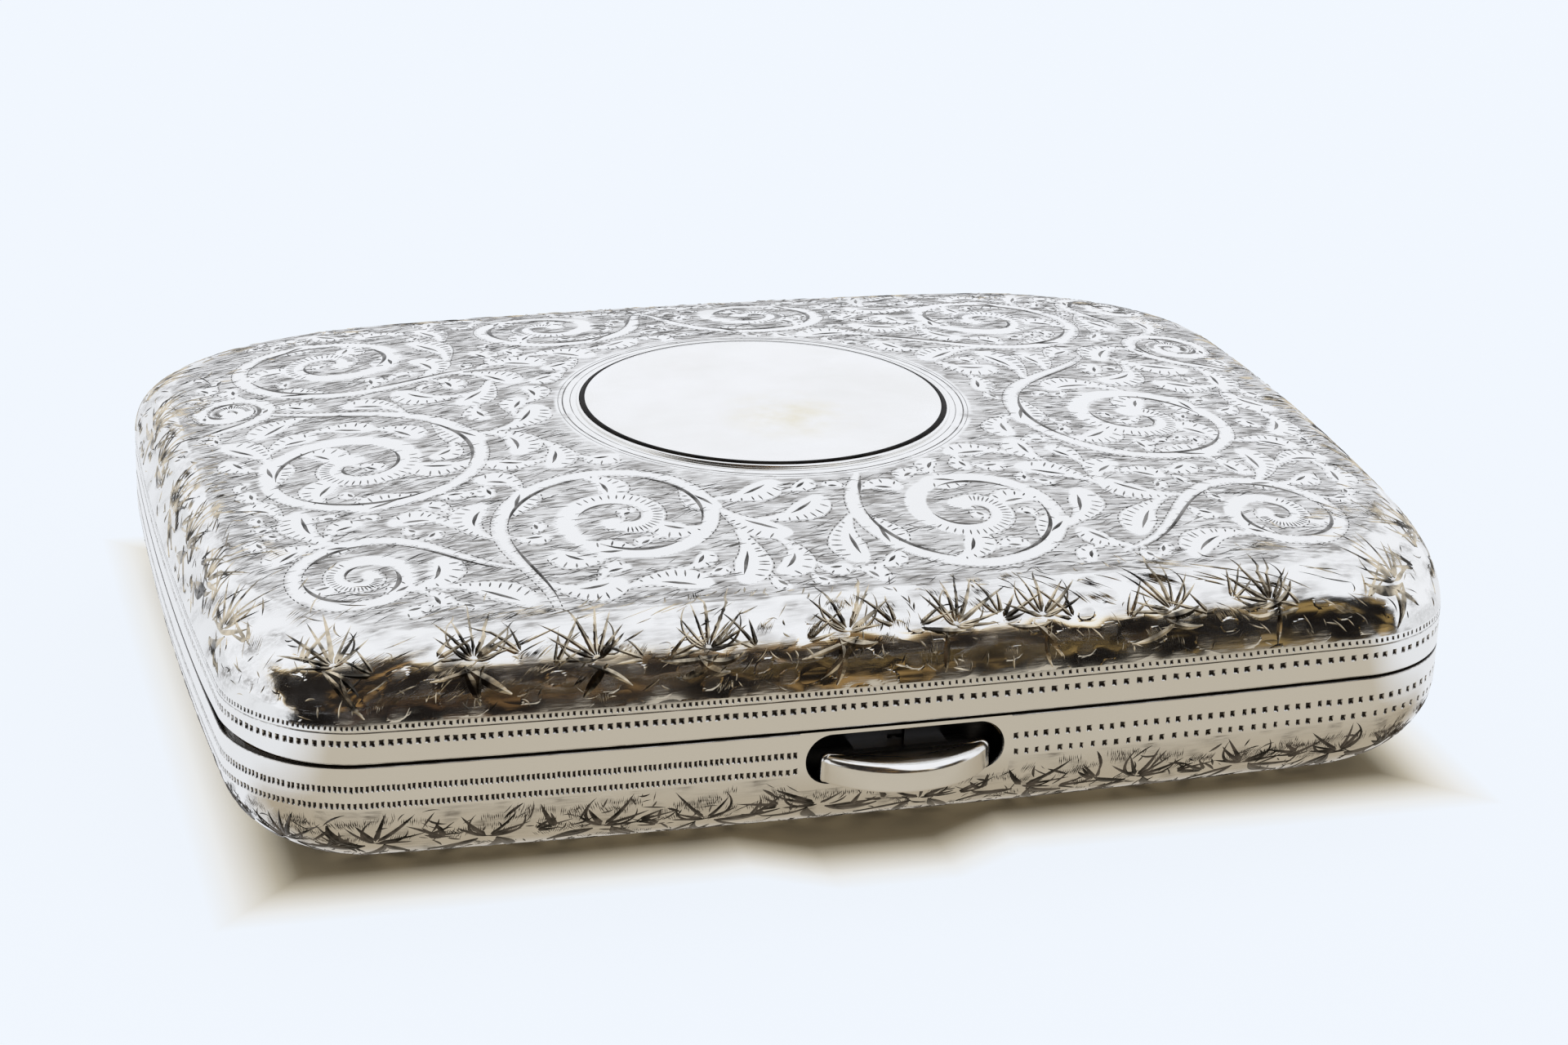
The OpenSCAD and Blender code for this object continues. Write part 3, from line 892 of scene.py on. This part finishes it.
class Shell:
    """Builds one shell's outer face out of strips. up is 1 for the lid, -1 for the base.
    opening is a cut-out in the front: its first and last u, and its last v."""

    def __init__(self, surface, up, opening=None):
        self.surface, self.up, self.opening = surface, up, opening
        self.sheet = Sheet()
        self.notch = (back_u(surface, NOTCH_X), back_u(surface, -NOTCH_X))

    def faces(self, rows, columns, closed):
        return grid_faces(rows, columns, closed)[:, ::self.up]

    def grid(self, us, vs, closed, ground, fade=1.0):
        """Faces between lines at us and vs. ground gives the points' marks, and fade is
        each row's share of them."""
        points, _ = self.surface.at(*np.meshgrid(us, vs))
        marks = ground(points.reshape(-1, 3)) * np.repeat(fade * np.ones(len(vs)), len(us))
        self.sheet.add(points, self.faces(len(vs), len(us), closed), marks)

    def spans(self, v):
        """The stretches of u that a strip from v covers, and whether they close."""
        a, b = self.notch
        around = self.surface.around
        ends = [b - around, a] if v < NOTCH_V else [0.0, around]
        closed = v >= NOTCH_V and not self.opening
        if self.opening:
            first, last = self.opening[:2]
            ends = [ends[0], first, last, a] if v < NOTCH_V else [last, first + around]
        return [(start, end, closed) for start, end in zip(ends[::2], ends[1::2])]

    def strip(self, rows):
        """A strip through rows of v, how deep they are sunk, and their marks."""
        vs, sunk, marks = np.array(rows).T
        for start, end, closed in self.spans(vs[0]):
            us = np.linspace(start, end, int((end - start) / FACET) + 1)
            us = us[:-1] if closed else us
            points, normals = self.surface.at(*np.meshgrid(us, vs))
            self.sheet.add(points - normals * sunk[:, None, None],
                           self.faces(len(vs), len(us), closed), np.repeat(marks, len(us)))

    def punched(self, v0, low, high, v1, pitches, width):
        """A strip from v0 to v1 with square pits from low to high. pitches are those left
        and right of the middle of the front, and the spacing drifts between them."""
        for start, end, closed in self.spans(v0):
            edges = [start]
            while edges[-1] < end:
                x = self.surface.at(np.array([edges[-1]]), np.array([1.0]))[0][0, 0]
                share = np.clip(0.5 + x / PITCH_DRIFT, 0, 1)
                edges.append(edges[-1] + pitches[0] + (pitches[1] - pitches[0]) * share)
            edges = start + (np.array(edges) - start) * (end - start) / (edges[-1] - start)
            gaps = np.diff(edges)
            middle = edges[:-1] + gaps * (0.5 + rng.normal(0, 0.05, len(gaps)))
            wide = np.minimum(width * rng.uniform(0.75, 1.15, len(gaps)), gaps * 0.62)
            us = np.sort(np.r_[edges[:-1] if closed else edges, middle - wide / 2,
                               middle + wide / 2])
            u, v = np.meshgrid(us, [v0, low, high, v1])
            v[1:3] += rng.normal(0, 0.02, len(us))[None]
            points, normals = self.surface.at(u, v)
            faces = grid_faces(4, len(us), closed)
            row, column = np.divmod(np.arange(len(faces)), len(us) - (not closed))
            pit = (row == 1) & (column % 3 == 1)
            rim = points.reshape(-1, 3)[faces[pit]]
            centre = rim.mean(1, keepdims=True)
            depth = 0.3 * width * rng.uniform(0.8, 1.2, len(rim))[:, None, None]
            floor = centre + (rim - centre) * 0.62 - normals.reshape(-1, 3)[faces[pit]] * depth
            walls = np.array([[0, 1, 5, 4], [1, 2, 6, 5], [2, 3, 7, 6], [3, 0, 4, 7],
                              [4, 5, 6, 7]])
            walls = (walls[None] + 8 * np.arange(len(rim))[:, None, None]).reshape(-1, 4)
            self.sheet.add(points, faces[~pit][:, ::self.up])
            self.sheet.add(np.concatenate([rim, floor], 1), walls[:, ::self.up],
                           np.tile(np.repeat([0.9, 2], 4), len(rim)))

    def mouth(self, inner):
        """The flat edge of the sheet round the mouth, and the cut-out's edges."""
        a, b = self.notch
        down = np.array([0.0, NOTCH_V])
        for u, v, sunk, turn in (
                (np.linspace(b - self.surface.around, a, 900), 0.0, MOUTH_ROUND, -self.up),
                (np.linspace(a, b, 240), NOTCH_V, 0.0, -self.up),
                (a, down, 0.0, 1), (b, down, 0.0, -1)):
            u, v = u + 0 * v, v + 0 * u
            outer, normals = self.surface.at(u, v)
            within, _ = inner.at(u / self.surface.around * inner.around, v)
            self.sheet.add(np.array([outer - normals * sunk, within]),
                           grid_faces(2, len(u), False)[:, ::turn])


LID_IN = Surface(lambda q: lid_row(q, SHEET), 3, 0.5, 1)
BASE_IN = Surface(lambda q: base_row(q, SHEET), 3, 0.5, -1)


def edge_ground(points):
    """The hatched ground of the rolls: full between the sprays, in drifting patches."""
    x, y, z = points.T
    drift = np.sin(x * 0.9 + 1.3 * np.sin(y * 0.7)) * np.sin(y * 1.1 + z * 1.7 + np.sin(x * 0.5))
    patch = np.sin(x * 1.7 + 2 * np.sin(y * 0.3)) * np.sin(y * 1.5 + z * 2.1 + 2 * np.sin(x * 0.3))
    return 0.2 + 0.25 * drift + 0.5 * np.clip(patch * 2.5 - 0.9, 0, 1)


art, cover = draw_top()
outline_dots(art, cover, 0.50, 0.12, 0.27, 0.19)
hatch_ground(art, cover, np.random.default_rng(5), 16000)


def lid_ground(points):
    x, y, _ = points.T
    inside = allowed(x * 0.985, y * 0.985)
    top = 1 - sample(cover, x, y)
    near = np.clip((np.hypot(x, y) - DISC_R - 1.0) / 0.8, 0, 1)
    return np.where(inside, top, edge_ground(points)) * near


LID.lift = LID_IN.lift = sprung_mouth
lid = Shell(LID, 1)
lid.strip(MOUTH_ROWS)
lid.punched(NOTCH_V, 1.38, 1.86, 2.38, (0.62, 0.92), 0.44)
lid.strip(GROOVE_ROWS)
lid.punched(2.52, 2.64, 2.98, 3.1, (0.42, 0.55), 0.22)
lid.grid(np.linspace(0, LID.around, 1600, endpoint=False),
         np.r_[np.arange(3.1, 12.0, 0.16), np.arange(12.0, LID.length, 0.15), LID.length],
         True, lid_ground)
lid.mouth(LID_IN)
lid_outer = lid.sheet.make("lid_engraved_shell", ENGRAVED, "lid", "engraved_silver")
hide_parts("lid_shell")

# The opening for the thumb piece in the base's front, and the patch of shell round it
OPEN_TOP = SEAM - OPENING_LIP
OPEN_MID = OPEN_TOP - OPENING_H / 2
OPEN_HALF = OPENING_W / 2 - OPENING_H / 2
patch_u = [u_at_x(BASE, CATCH_X + s * (OPENING_W / 2 + 0.5)) for s in (-1, 1)]
patch_v = v_at_z(BASE, OPEN_TOP - OPENING_H - 0.45)

base = Shell(BASE, -1, (*patch_u, patch_v))
base.strip(MOUTH_ROWS)
base.punched(NOTCH_V, 1.42, 1.92, 2.2, (0.36, 0.86), 0.38)
base.punched(2.2, 2.72, 3.20, 3.4, (0.38, 0.90), 0.36)
base.grid(np.linspace(patch_u[1], patch_u[0] + BASE.around, 1200),
          np.linspace(3.4, patch_v, 5), False, edge_ground)
vs = np.linspace(patch_v, BASE.length, 42)
base.grid(np.linspace(0, BASE.around, 1300, endpoint=False), vs, True, edge_ground,
          np.clip((BASE.length - vs) / 1.5, 0, 1))


def opening_outline():
    """The opening's edge, anticlockwise seen from the front: (x, z), u and v."""
    a = np.linspace(0, 2 * math.pi, 128, endpoint=False)
    r = OPENING_H / 2
    straight = np.where(np.abs(np.cos(a)) > 1e-9, np.sign(np.cos(a)) * OPEN_HALF, 0)
    xz = np.c_[CATCH_X + straight + r * np.cos(a), OPEN_MID + r * np.sin(a)]
    return xz, u_at_x(BASE, xz[:, 0]), v_at_z(BASE, xz[:, 1])


def opening_patch():
    """The shell round the opening, with a narrow bevel and the sheet's thickness."""
    _, u, v = opening_outline()
    mv = v_at_z(BASE, OPEN_MID)
    du, dv = u - sum(patch_u) / 2, v - mv
    grow = np.minimum((patch_u[1] - patch_u[0]) / 2 / np.maximum(np.abs(du), 1e-6),
                      np.where(dv > 0, patch_v - mv, mv) / np.maximum(np.abs(dv), 1e-6)) - 1
    t = np.linspace(0, 1, 6)[:, None]
    points, _ = BASE.at(u + grow * du * t, v + grow * dv * t)
    base.sheet.add(points, grid_faces(6, len(u), True))
    edge = points[0]
    bevel = edge + (edge.mean(0) - edge) * [0.012, 0, 0.012] + [0, 0.08, 0]
    deep = bevel + [0, SHEET - 0.08, 0]
    # the sheet's thickness inside the opening is marked near black: painted shade of the opening
    base.sheet.add(np.array([deep, bevel, edge]), grid_faces(3, len(u), True),
                   np.repeat([2.0, 1.0, 0.0], len(u)))


opening_patch()
base.mouth(BASE_IN)
underside = np.array([BASE.points[-1] * [s, s, 1] for s in np.linspace(1, 0.001, 9)])
base.sheet.add(underside, grid_faces(*underside.shape[:2], True)[:, ::-1])
base_outer = base.sheet.make("base_engraved_shell", ENGRAVED, "base", "engraved_silver")
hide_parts("base_shell")


def lining(name, surface, up, body, opening=()):
    """A shell's gilt inner face, coarser than the outer one, with the same cut-outs.
    opening is the thumb's, as its first and last u and v."""
    a, b = back_u(surface, NOTCH_X), back_u(surface, -NOTCH_X)
    start = -surface.around / 4
    us = np.unique(np.r_[start + np.linspace(0, surface.around, 260, endpoint=False), a, b,
                         opening[:2]])
    vs = np.unique(np.r_[np.linspace(0, surface.length, 44), NOTCH_V, opening[2:]])
    points, _ = surface.at(*np.meshgrid(us, vs))
    next_u = np.append(us[1:], start + surface.around)
    mid_u, mid_v = np.meshgrid((us + next_u) / 2, (vs[1:] + vs[:-1]) / 2)
    gone = (mid_u > a) & (mid_u < b) & (mid_v < NOTCH_V)
    if opening:
        gone |= ((mid_u > opening[0]) & (mid_u < opening[1])
                 & (mid_v > opening[2]) & (mid_v < opening[3]))
    sheet = Sheet()
    sheet.add(points, grid_faces(len(vs), len(us), True)[~gone.ravel()][:, ::-up])
    sheet.make(name, GILT, body, "gilt_silver")


lining("lid_lining", LID_IN, 1, "lid")
lining("base_lining", BASE_IN, -1, "base",
       tuple(u_at_x(BASE_IN, CATCH_X + s * OPENING_W / 2) for s in (-1, 1))
       + tuple(v_at_z(BASE_IN, OPEN_TOP - drop) for drop in (0, OPENING_H)))

# ---- engraving on the shells

TOP_CELL = 0.2


def top_height(x, y):
    """Height of the lid's top over (x, y), from the rings of its surface."""
    angles = np.linspace(-math.pi, math.pi, 1441)
    place = (np.arctan2(y, x) + math.pi) / (2 * math.pi) * (len(angles) - 1)
    i = np.clip(place.astype(int), 0, len(angles) - 2)
    f, r = place - i, np.hypot(x, y)
    rings = LID.points[int(np.searchsorted(LID.v, BAND))::2]
    z = np.full(x.shape, rings[-1][0, 2])
    outer, above = np.full(x.shape, np.inf), 0.0
    for loop in rings:
        rho = np.interp(angles, np.arctan2(loop[:, 1], loop[:, 0]),
                        np.hypot(loop[:, 0], loop[:, 1]), period=2 * math.pi)
        rho = rho[i] * (1 - f) + rho[i + 1] * f
        if above:
            w = (outer - r) / np.maximum(outer - rho, 1e-9)
            z = np.where((r <= outer) & (r > rho), above * (1 - w) + loop[0, 2] * w, z)
        outer, above = rho, loop[0, 2]
    return z


TOP_Z = top_height(*np.meshgrid(np.arange(-SPAN_X, SPAN_X + 0.01, TOP_CELL),
                                np.arange(-SPAN_Y, SPAN_Y + 0.01, TOP_CELL)))


def on_top(x, y):
    """Points and normals of the lid's top at x and y."""
    z, e = sample(TOP_Z, x, y, TOP_CELL), 0.25
    slopes = [(sample(TOP_Z, x - dx, y - dy, TOP_CELL) - sample(TOP_Z, x + dx, y + dy, TOP_CELL))
              / (2 * e) for dx, dy in ((e, 0), (0, e))]
    return np.stack([x, y, z], -1), unit(np.stack([*slopes, np.ones_like(z)], -1))


carve("lid_scroll_engraving", art, on_top,
      lambda x, y: allowed(x * 0.97, y * 0.97) & (np.hypot(x, y) > DISC_R + 1.2),
      CUT, "lid", "engraved_silver")

edge_art = Drawing()
edge_draw = np.random.default_rng(21)
lid_sprays = Sprays(edge_draw)
lid_sprays.row(LID.around, 6.9, 5.1, 8.8, 1, 0.46, 8)
lid_sprays.lay(edge_art, LID)
hatch_patches(edge_art, LID.around, 3.8, 11.0, 200, edge_draw)
hatch_edge(edge_art, LID.around, 3.4, 11.4, 0.5, edge_draw)
carve("lid_edge_engraving", edge_art, LID.at, lambda u, v: (v > 3.25) & (v < 12), BRIGHT_CUT,
      "lid", "engraved_silver", 0.6)

base_art = Drawing()
base_sprays = Sprays(edge_draw)
base_sprays.row(BASE.around, 7.0, 4.2, 8.0, -1, 0.60, 7)
base_sprays.row(BASE.around, 12.0, 3.8, 9.5, -1, 0.50, 6)
base_sprays.lay(base_art, BASE)
hatch_patches(base_art, BASE.around, 3.9, 6.2, 420, edge_draw)
hatch_patches(base_art, BASE.around, 6.2, 13.0, 300, edge_draw)
hatch_edge(base_art, BASE.around, 3.7, 13.4, 0.35, edge_draw)
hatch_edge(base_art, BASE.around, 4.2, 8.0, 0.3, edge_draw, 1.8)


def clear_of_opening(u, v):
    u = (u + BASE.around / 2) % BASE.around - BASE.around / 2
    inside = (u > patch_u[0] + 0.3) & (u < patch_u[1] - 0.3) & (v < patch_v - 0.1)
    return (v > 3.55) & (v < BASE.length - 0.3) & ~inside


carve("base_engraving", base_art, BASE.at, clear_of_opening, BASE_CUT, "base",
      "engraved_silver", 0.5)

# ---- turned and small pieces


def turned(name, profile, material, slot, node=None):
    """A piece of the lid turned about Z from a closed profile of (radius, z)."""
    a = np.linspace(0, 2 * math.pi, 288, endpoint=False)
    rows = np.array([np.c_[r * np.cos(a), r * np.sin(a), z + 0 * a] for r, z in profile])
    sheet = Sheet()
    sheet.add(rows, grid_faces(len(profile), len(a), True))
    obj = sheet.make(name, material, "lid", slot)
    if node:
        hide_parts(node)


disc_low, disc_high = box_mm("cartouche_disc")
EDGE_Z = RING_LOW[2] + 0.3
crown = disc_high[2] - EDGE_Z
profile = [(0.01, disc_low[2]), (DISC_R - 0.16, disc_low[2]), (DISC_R - 0.14, EDGE_Z - 0.10),
           (DISC_R - 0.17, EDGE_Z - 0.04), (DISC_R - 0.24, EDGE_Z)]
profile += [(max((DISC_R - 0.24) * s, 0.01), EDGE_Z + crown * (1 - s * s))
            for s in np.linspace(1, 0, 30)[1:]]
turned("cartouche", profile, STAINED, "plain_silver", "cartouche_disc")

low, high = RING_LOW[2] - 0.05, RING_HIGH[2]
bead = (RING_HIGH[0] - DISC_R - 0.2) / 2
ring_mid = RING_HIGH[0] - bead
profile = [(ring_mid - bead, low), (ring_mid - bead, high - bead)]
profile += [(ring_mid + bead * math.cos(a), high - bead + bead * math.sin(a))
            for a in np.linspace(math.pi, 0, 9)]
profile += [(ring_mid + bead, low), (ring_mid - bead, low)]
turned("cartouche_bead", profile, PLAIN, "plain_silver", "cartouche_ring")

# The gilding behind the cartouche, inside the lid
under, edge = disc_low[2] - 0.01, DISC_R - 0.2
profile = [(0.01, under), (0.01, under - 0.05), (edge - 0.2, under - 0.05),
           (edge, under - 0.03), (edge, under), (0.01, under)]
turned("cartouche_back", profile, GILT, "gilt_silver")

# The dark joint at the cartouche's foot, near black: painted shade of the step round the disc
foot = RING_LOW[2]
profile = [(DISC_R - 0.30, EDGE_Z - 0.3), (DISC_R - 0.16, EDGE_Z - 0.015),
           (DISC_R + 0.01, EDGE_Z - 0.05), (DISC_R + 0.26, foot + 0.05),
           (DISC_R + 0.26, foot - 0.05), (DISC_R - 0.30, EDGE_Z - 0.3)]
turned("cartouche_joint", profile, JOINT_SHADE, "engraved_silver")

# Fine turned lines round the bead
lines = Drawing()
for radius, width in ((15.15, 0.10), (15.75, 0.16), (16.1, 0.09)):
    for start in range(0, 360, 30):
        a = np.radians(np.arange(start, start + 31))
        lines.cut(np.c_[radius * np.cos(a), radius * np.sin(a)], width, "blunt")
carve("cartouche_lines", lines, on_top, lambda x, y: x < 99, CUT, "lid", "engraved_silver")


def thumb():
    """The push-piece: a D-shaped bar, bowed in front, with rounded edges."""
    width, bulge = PUSH_HIGH[0] - PUSH_LOW[0], -HALF_D - PUSH_LOW[1]
    radius = (width * width / 4 + bulge * bulge) / (2 * bulge)

    def outline(inset):
        half, r = width / 2 - inset, radius - inset
        x = np.linspace(-half, half, 96)
        y = np.maximum(np.sqrt(np.maximum(r * r - x * x, 0)) - (radius - bulge), -0.5 + inset)
        y = np.minimum(y, bulge - inset)
        corner = np.clip((half - np.abs(x)) * 3.0, 0, 1)
        return np.vstack([np.c_[CATCH_X + x, -HALF_D - np.maximum(y, -0.1) * corner],
                          [CATCH_X + half, PUSH_HIGH[1]], [CATCH_X - half, PUSH_HIGH[1]]])

    turn = np.linspace(0, math.pi / 2, 8)
    loops = [level(outline(rim * (1 - math.sin(a))), z + rim * (1 - math.cos(a)) * up)
             for rim, z, up, sweep in ((0.25, PUSH_LOW[2], 1, turn),
                                       (0.55, PUSH_HIGH[2], -1, turn[::-1]))
             for a in sweep]
    for end in (0, -1):
        centre = loops[end].mean(0)
        inner = [centre + (loops[end] - centre) * s for s in (0.66, 0.33, 0.001)]
        loops = loops + inner if end else inner[::-1] + loops
    sheet = Sheet()
    sheet.add(np.array(loops), grid_faces(len(loops), len(loops[0]), True))
    obj = sheet.make("thumb_bar", PLAIN, "push", "plain_silver")
    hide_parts("thumb_piece")


thumb()


def catch_well():
    """A near-black sleeve in the opening, round the push-piece: painted shade for the inside of
    the opening.
    """
    xz, u, v = opening_outline()
    away = unit(xz - [CATCH_X, OPEN_MID])
    face = BASE.at(u, v)[0][:, 1]
    loops = []
    for depth, grow in ((0.12, -0.03), (1.95, -0.03), (1.95, -0.15), (0.2, -0.15), (0.12, -0.03)):
        x, z = (xz + away * grow).T
        loops.append(np.c_[x, face + depth, z])
    sheet = Sheet()
    sheet.add(np.array(loops), grid_faces(len(loops), len(xz), True))
    sheet.make("catch_well", WELL, "base", "engraved_silver")


catch_well()


def spring():
    """The leaf spring in two arms, each bowed up near its inner end; neither is attached to a
    body.
    """
    low, high = box_mm("catch_spring")
    for name, end, side in (("catch_spring_left", low[0], -1),
                            ("catch_spring_right", high[0], 1)):
        share = np.linspace(0, 1, 60)
        x = CATCH_X + side * 0.65 + (end - CATCH_X - side * 0.65) * share
        pull = 0.35 * np.sin(math.pi * np.minimum(share * 1.4, 1)) ** 2
        z0, z1 = low[2] + pull, high[2] - pull * 0.3
        points = np.stack([np.c_[x, deep + 0 * x, z] for deep, z in (
            (low[1], z0), (high[1], z0), (high[1], z1), (low[1], z1))], 1)
        caps = [[0, 1, 2, 3], [239, 238, 237, 236]]
        sheet = Sheet()
        sheet.add(points, np.vstack([grid_faces(len(x), 4, True), caps])[:, ::-side])
        obj = sheet.make(name, STEEL, None, "spring_steel", smooth=False)
        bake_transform(obj)
        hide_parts("catch_spring")


spring()

FINISH = {"gilt_silver": GILT, "spring_steel": STEEL, "plain_silver": PLAIN,
          "engraved_silver": ENGRAVED}
for node in frame["nodes"].values():
    for i, material in enumerate(node.data.materials):
        node.data.materials[i] = FINISH[material.name.split(".")[0]]

# ---- floor, light and camera

REACH = 6.0
corners = [(-REACH, -REACH, 0), (REACH, -REACH, 0), (REACH, REACH, 0), (-REACH, REACH, 0)]
floor_mesh = bpy.data.meshes.new("floor")
floor_mesh.from_pydata(corners, [], [(0, 1, 2, 3)])
floor = add_object("floor", floor_mesh)
paper = Look("paper", 0.0, 0.55)
sheet_tone = paper.mix(paper.noise(6, 2.0), (0.87, 0.875, 0.92), (0.84, 0.855, 0.92))
across, deep, _ = paper.split(paper.coords)
aside = paper.math("ABSOLUTE", across)
# how far the paper is from the case's flat underside, in metres
off = paper.math("MAXIMUM", paper.minus(aside, (HALF_W - 6) * MM),
                 paper.minus(paper.math("ABSOLUTE", deep), (HALF_D - 6) * MM))
# the push-piece stands out over the floor and shades it
off = paper.minus(off, paper.times(paper.ramp(deep, -0.030, -0.025, 1.0, 0.0),
                                   paper.ramp(aside, 0.0045, 0.0100, 0.0030, 0.0)))
# close to the case the paper is painted with a warm cast and a dark shadow; farther off the
# paper's own glow, painted light, keeps the shadows faint
cast = paper.ramp(off, 0.002, 0.0075, 1.0, 0.0)
lit = paper.ramp(off, 0.0005, 0.0055, 0.0, 0.93)
shade = paper.mix(paper.ramp(off, 0.0, 0.004, 1.0, 0.0), (0.78, 0.73, 0.57), (0.36, 0.30, 0.20))
tone = paper.mix(lit, paper.mix(cast, sheet_tone, shade), (0, 0, 0))
glow = paper.mix(lit, (0, 0, 0), paper.mix(cast, (0.885, 0.935, 1.0), (0.78, 0.71, 0.58)))
# reflections see the paper glow in painted colours, a painted reflection: warm and dim in front,
# and brighter elsewhere
front = paper.times(paper.ramp(deep, -0.031, -0.024, 1.0, 0.0),
                    paper.ramp(aside, 0.052, 0.066, 1.0, 0.0))
near_tone = paper.mix(paper.ramp(deep, -0.047, -0.034), (0.54, 0.49, 0.405), (0.44, 0.38, 0.29))
mirrored = paper.mix(front, (0.84, 0.86, 0.90), near_tone)
direct = paper.ray("Glossy")
paper.set(Base_Color=paper.mix(direct, tone, (0, 0, 0)),
          Emission_Color=paper.mix(direct, glow, mirrored), Emission_Strength=1.0,
          Specular_IOR_Level=0.0)
floor_mesh.materials.append(paper.material)
floor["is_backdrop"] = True


def studio():
    """White all round, but for the dark room that the front of the case faces. The camera
    itself sees plain pale blue."""
    world = bpy.data.worlds.new("studio")
    bpy.context.scene.world = world
    world.use_nodes = True
    sky = Nodes(world.node_tree, "Generated")

    def ease(value, low, high):
        return sky.ramp(value, low, high, interpolation_type="SMOOTHSTEP")

    x, y, z = sky.split(sky.coords)
    wobble = sky.times(sky.minus(sky.grain(sky.coords, 5.0, 4.0), 0.5), 0.3)
    height = sky.plus(sky.math("ARCSINE", z), wobble)
    bearing = sky.math("ARCTAN2", x, sky.times(y, -1.0))
    # the dark is low straight ahead and climbs to both sides
    turned_off = sky.minus(bearing, 0.38)
    limit = sky.plus(0.18, sky.times(3.0, sky.times(turned_off, turned_off)))
    beyond = sky.math("MAXIMUM", sky.minus(-0.9, bearing), 0.0)
    limit = sky.math("MINIMUM", limit, sky.minus(1.15, sky.times(beyond, 0.55)))
    dark = sky.minus(1.0, ease(sky.minus(height, limit), -0.06, 0.12))
    # its left end leans outwards with the height
    left = sky.plus(bearing, sky.times(sky.math("MAXIMUM", height, 0.0), 1.2))
    dark = sky.times(dark, sky.times(ease(left, -1.02, -0.90),
                                     sky.minus(1.0, ease(bearing, 0.42, 0.58))))
    shades = sky.node("ShaderNodeValToRGB", {0: dark})
    stops = shades.node.color_ramp.elements
    stops[0].color = (0.93, 0.95, 1.0, 1)
    stops[1].color = (0.012, 0.009, 0.007, 1)
    for place, colour in ((0.22, (1.0, 0.95, 0.82)), (0.45, (0.75, 0.55, 0.25)),
                          (0.7, (0.16, 0.10, 0.04))):
        stops.new(place).color = (*colour, 1)
    # browns in the dark room
    spots = sky.times(ease(sky.grain(sky.coords, 9.0, 3.0), 0.53, 0.66),
                      ease(bearing, -0.75, -0.4))
    room = sky.mix(sky.times(spots, dark), shades, (0.30, 0.17, 0.055), blend_type="ADD")
    # what everything else sees, then what reflections see and what the camera sees
    last = sky.node("ShaderNodeBackground", {0: (0.96, 0.97, 1.0), 1: 0.88})
    for ray, colour, strength in (("Glossy", room, 1.02), ("Camera", (0.87, 0.93, 1.0), 1.0)):
        light = sky.node("ShaderNodeBackground", {0: colour, 1: strength})
        last = sky.node("ShaderNodeMixShader", {0: sky.ray(ray), 1: last, 2: light})
    sky.put(last, sky.tree.nodes["World Output"].inputs[0])


studio()

KEY_PLACE = Vector((0.30, 0.45, 0.80))
key_light = bpy.data.lights.new("key", "AREA")
key_light.shape, key_light.size, key_light.energy = "DISK", 0.45, 1.3
key_light.color = (0.97, 0.98, 1.0)
key = add_object("key", key_light)
key.location = KEY_PLACE
key.rotation_euler = (-KEY_PLACE).to_track_quat("-Z", "Y").to_euler()
key.visible_glossy = False


def dark_card():
    """The dark room beyond the paper's front edge, as the silver sees it. Only reflections
    see this card."""
    near, z = -0.069, 0.0006
    points = [(x, y, z) for x, y in ((-4.2, -2.45), (4.0, -2.55), (0.080, -0.058),
                                     (0.066, near), (-0.058, near), (-0.078, -0.050))]
    # its right end stands up, for the case's front right corner
    points += [(0.042, -0.092, z), (0.092, -0.066, z), (0.092, -0.066, 0.052),
               (0.042, -0.092, 0.028)]
    mesh = bpy.data.meshes.new("dark_card")
    mesh.from_pydata(points, [], [range(6), range(6, 10)])
    card = add_object("dark_card", mesh)
    look = Look("dark_card", 0.0, 1.0)
    right = look.split(look.coords)[0]
    # browner and lighter to the right
    brown = look.mix(look.ramp(right, -0.05, 0.05), (0.17, 0.07, 0.03), (0.42, 0.28, 0.10))
    blots = look.times(look.ramp(look.noise(50, 3.0), 0.52, 0.64),
                       look.ramp(right, -0.085, -0.055))
    look.set(Base_Color=(0, 0, 0), Specular_IOR_Level=0.0, Emission_Strength=1.0,
             Emission_Color=look.mix(blots, (0.006, 0.0045, 0.0035), brown))
    mesh.materials.append(look.material)
    card.visible_camera = card.visible_diffuse = card.visible_shadow = False
    card.visible_transmission = card.visible_volume_scatter = False
    card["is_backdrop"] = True


dark_card()


def photo_camera():
    """A camera with the photograph's view of the case."""
    az, el, roll = math.radians(-16.332), math.radians(21.499), math.radians(1.912)
    back = Vector((math.sin(az) * math.cos(el), -math.cos(az) * math.cos(el), math.sin(el)))
    right = (-back).cross(Vector((0, 0, 1))).normalized()
    up = right.cross(-back)
    target = Vector((0, 0, 0.00705)) + right * 0.00197 + up * 0.00479
    data = bpy.data.cameras.new("camera")
    data.lens, data.sensor_width = 84.27, 36.0
    data.clip_start, data.clip_end = 0.01, 50
    camera = add_object("camera", data)
    axes = Matrix((right * math.cos(roll) + up * math.sin(roll),
                   up * math.cos(roll) - right * math.sin(roll), back)).transposed()
    camera.matrix_world = Matrix.Translation(target + back * 0.29411) @ axes.to_4x4()
    bpy.context.scene.camera = camera


photo_camera()
bpy.context.scene.view_settings.view_transform = "Standard"

low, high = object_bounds()
({"cad": [list(CAD_BOX[0]), list(CAD_BOX[1])],
           "visual": [list(low), list(high)]})
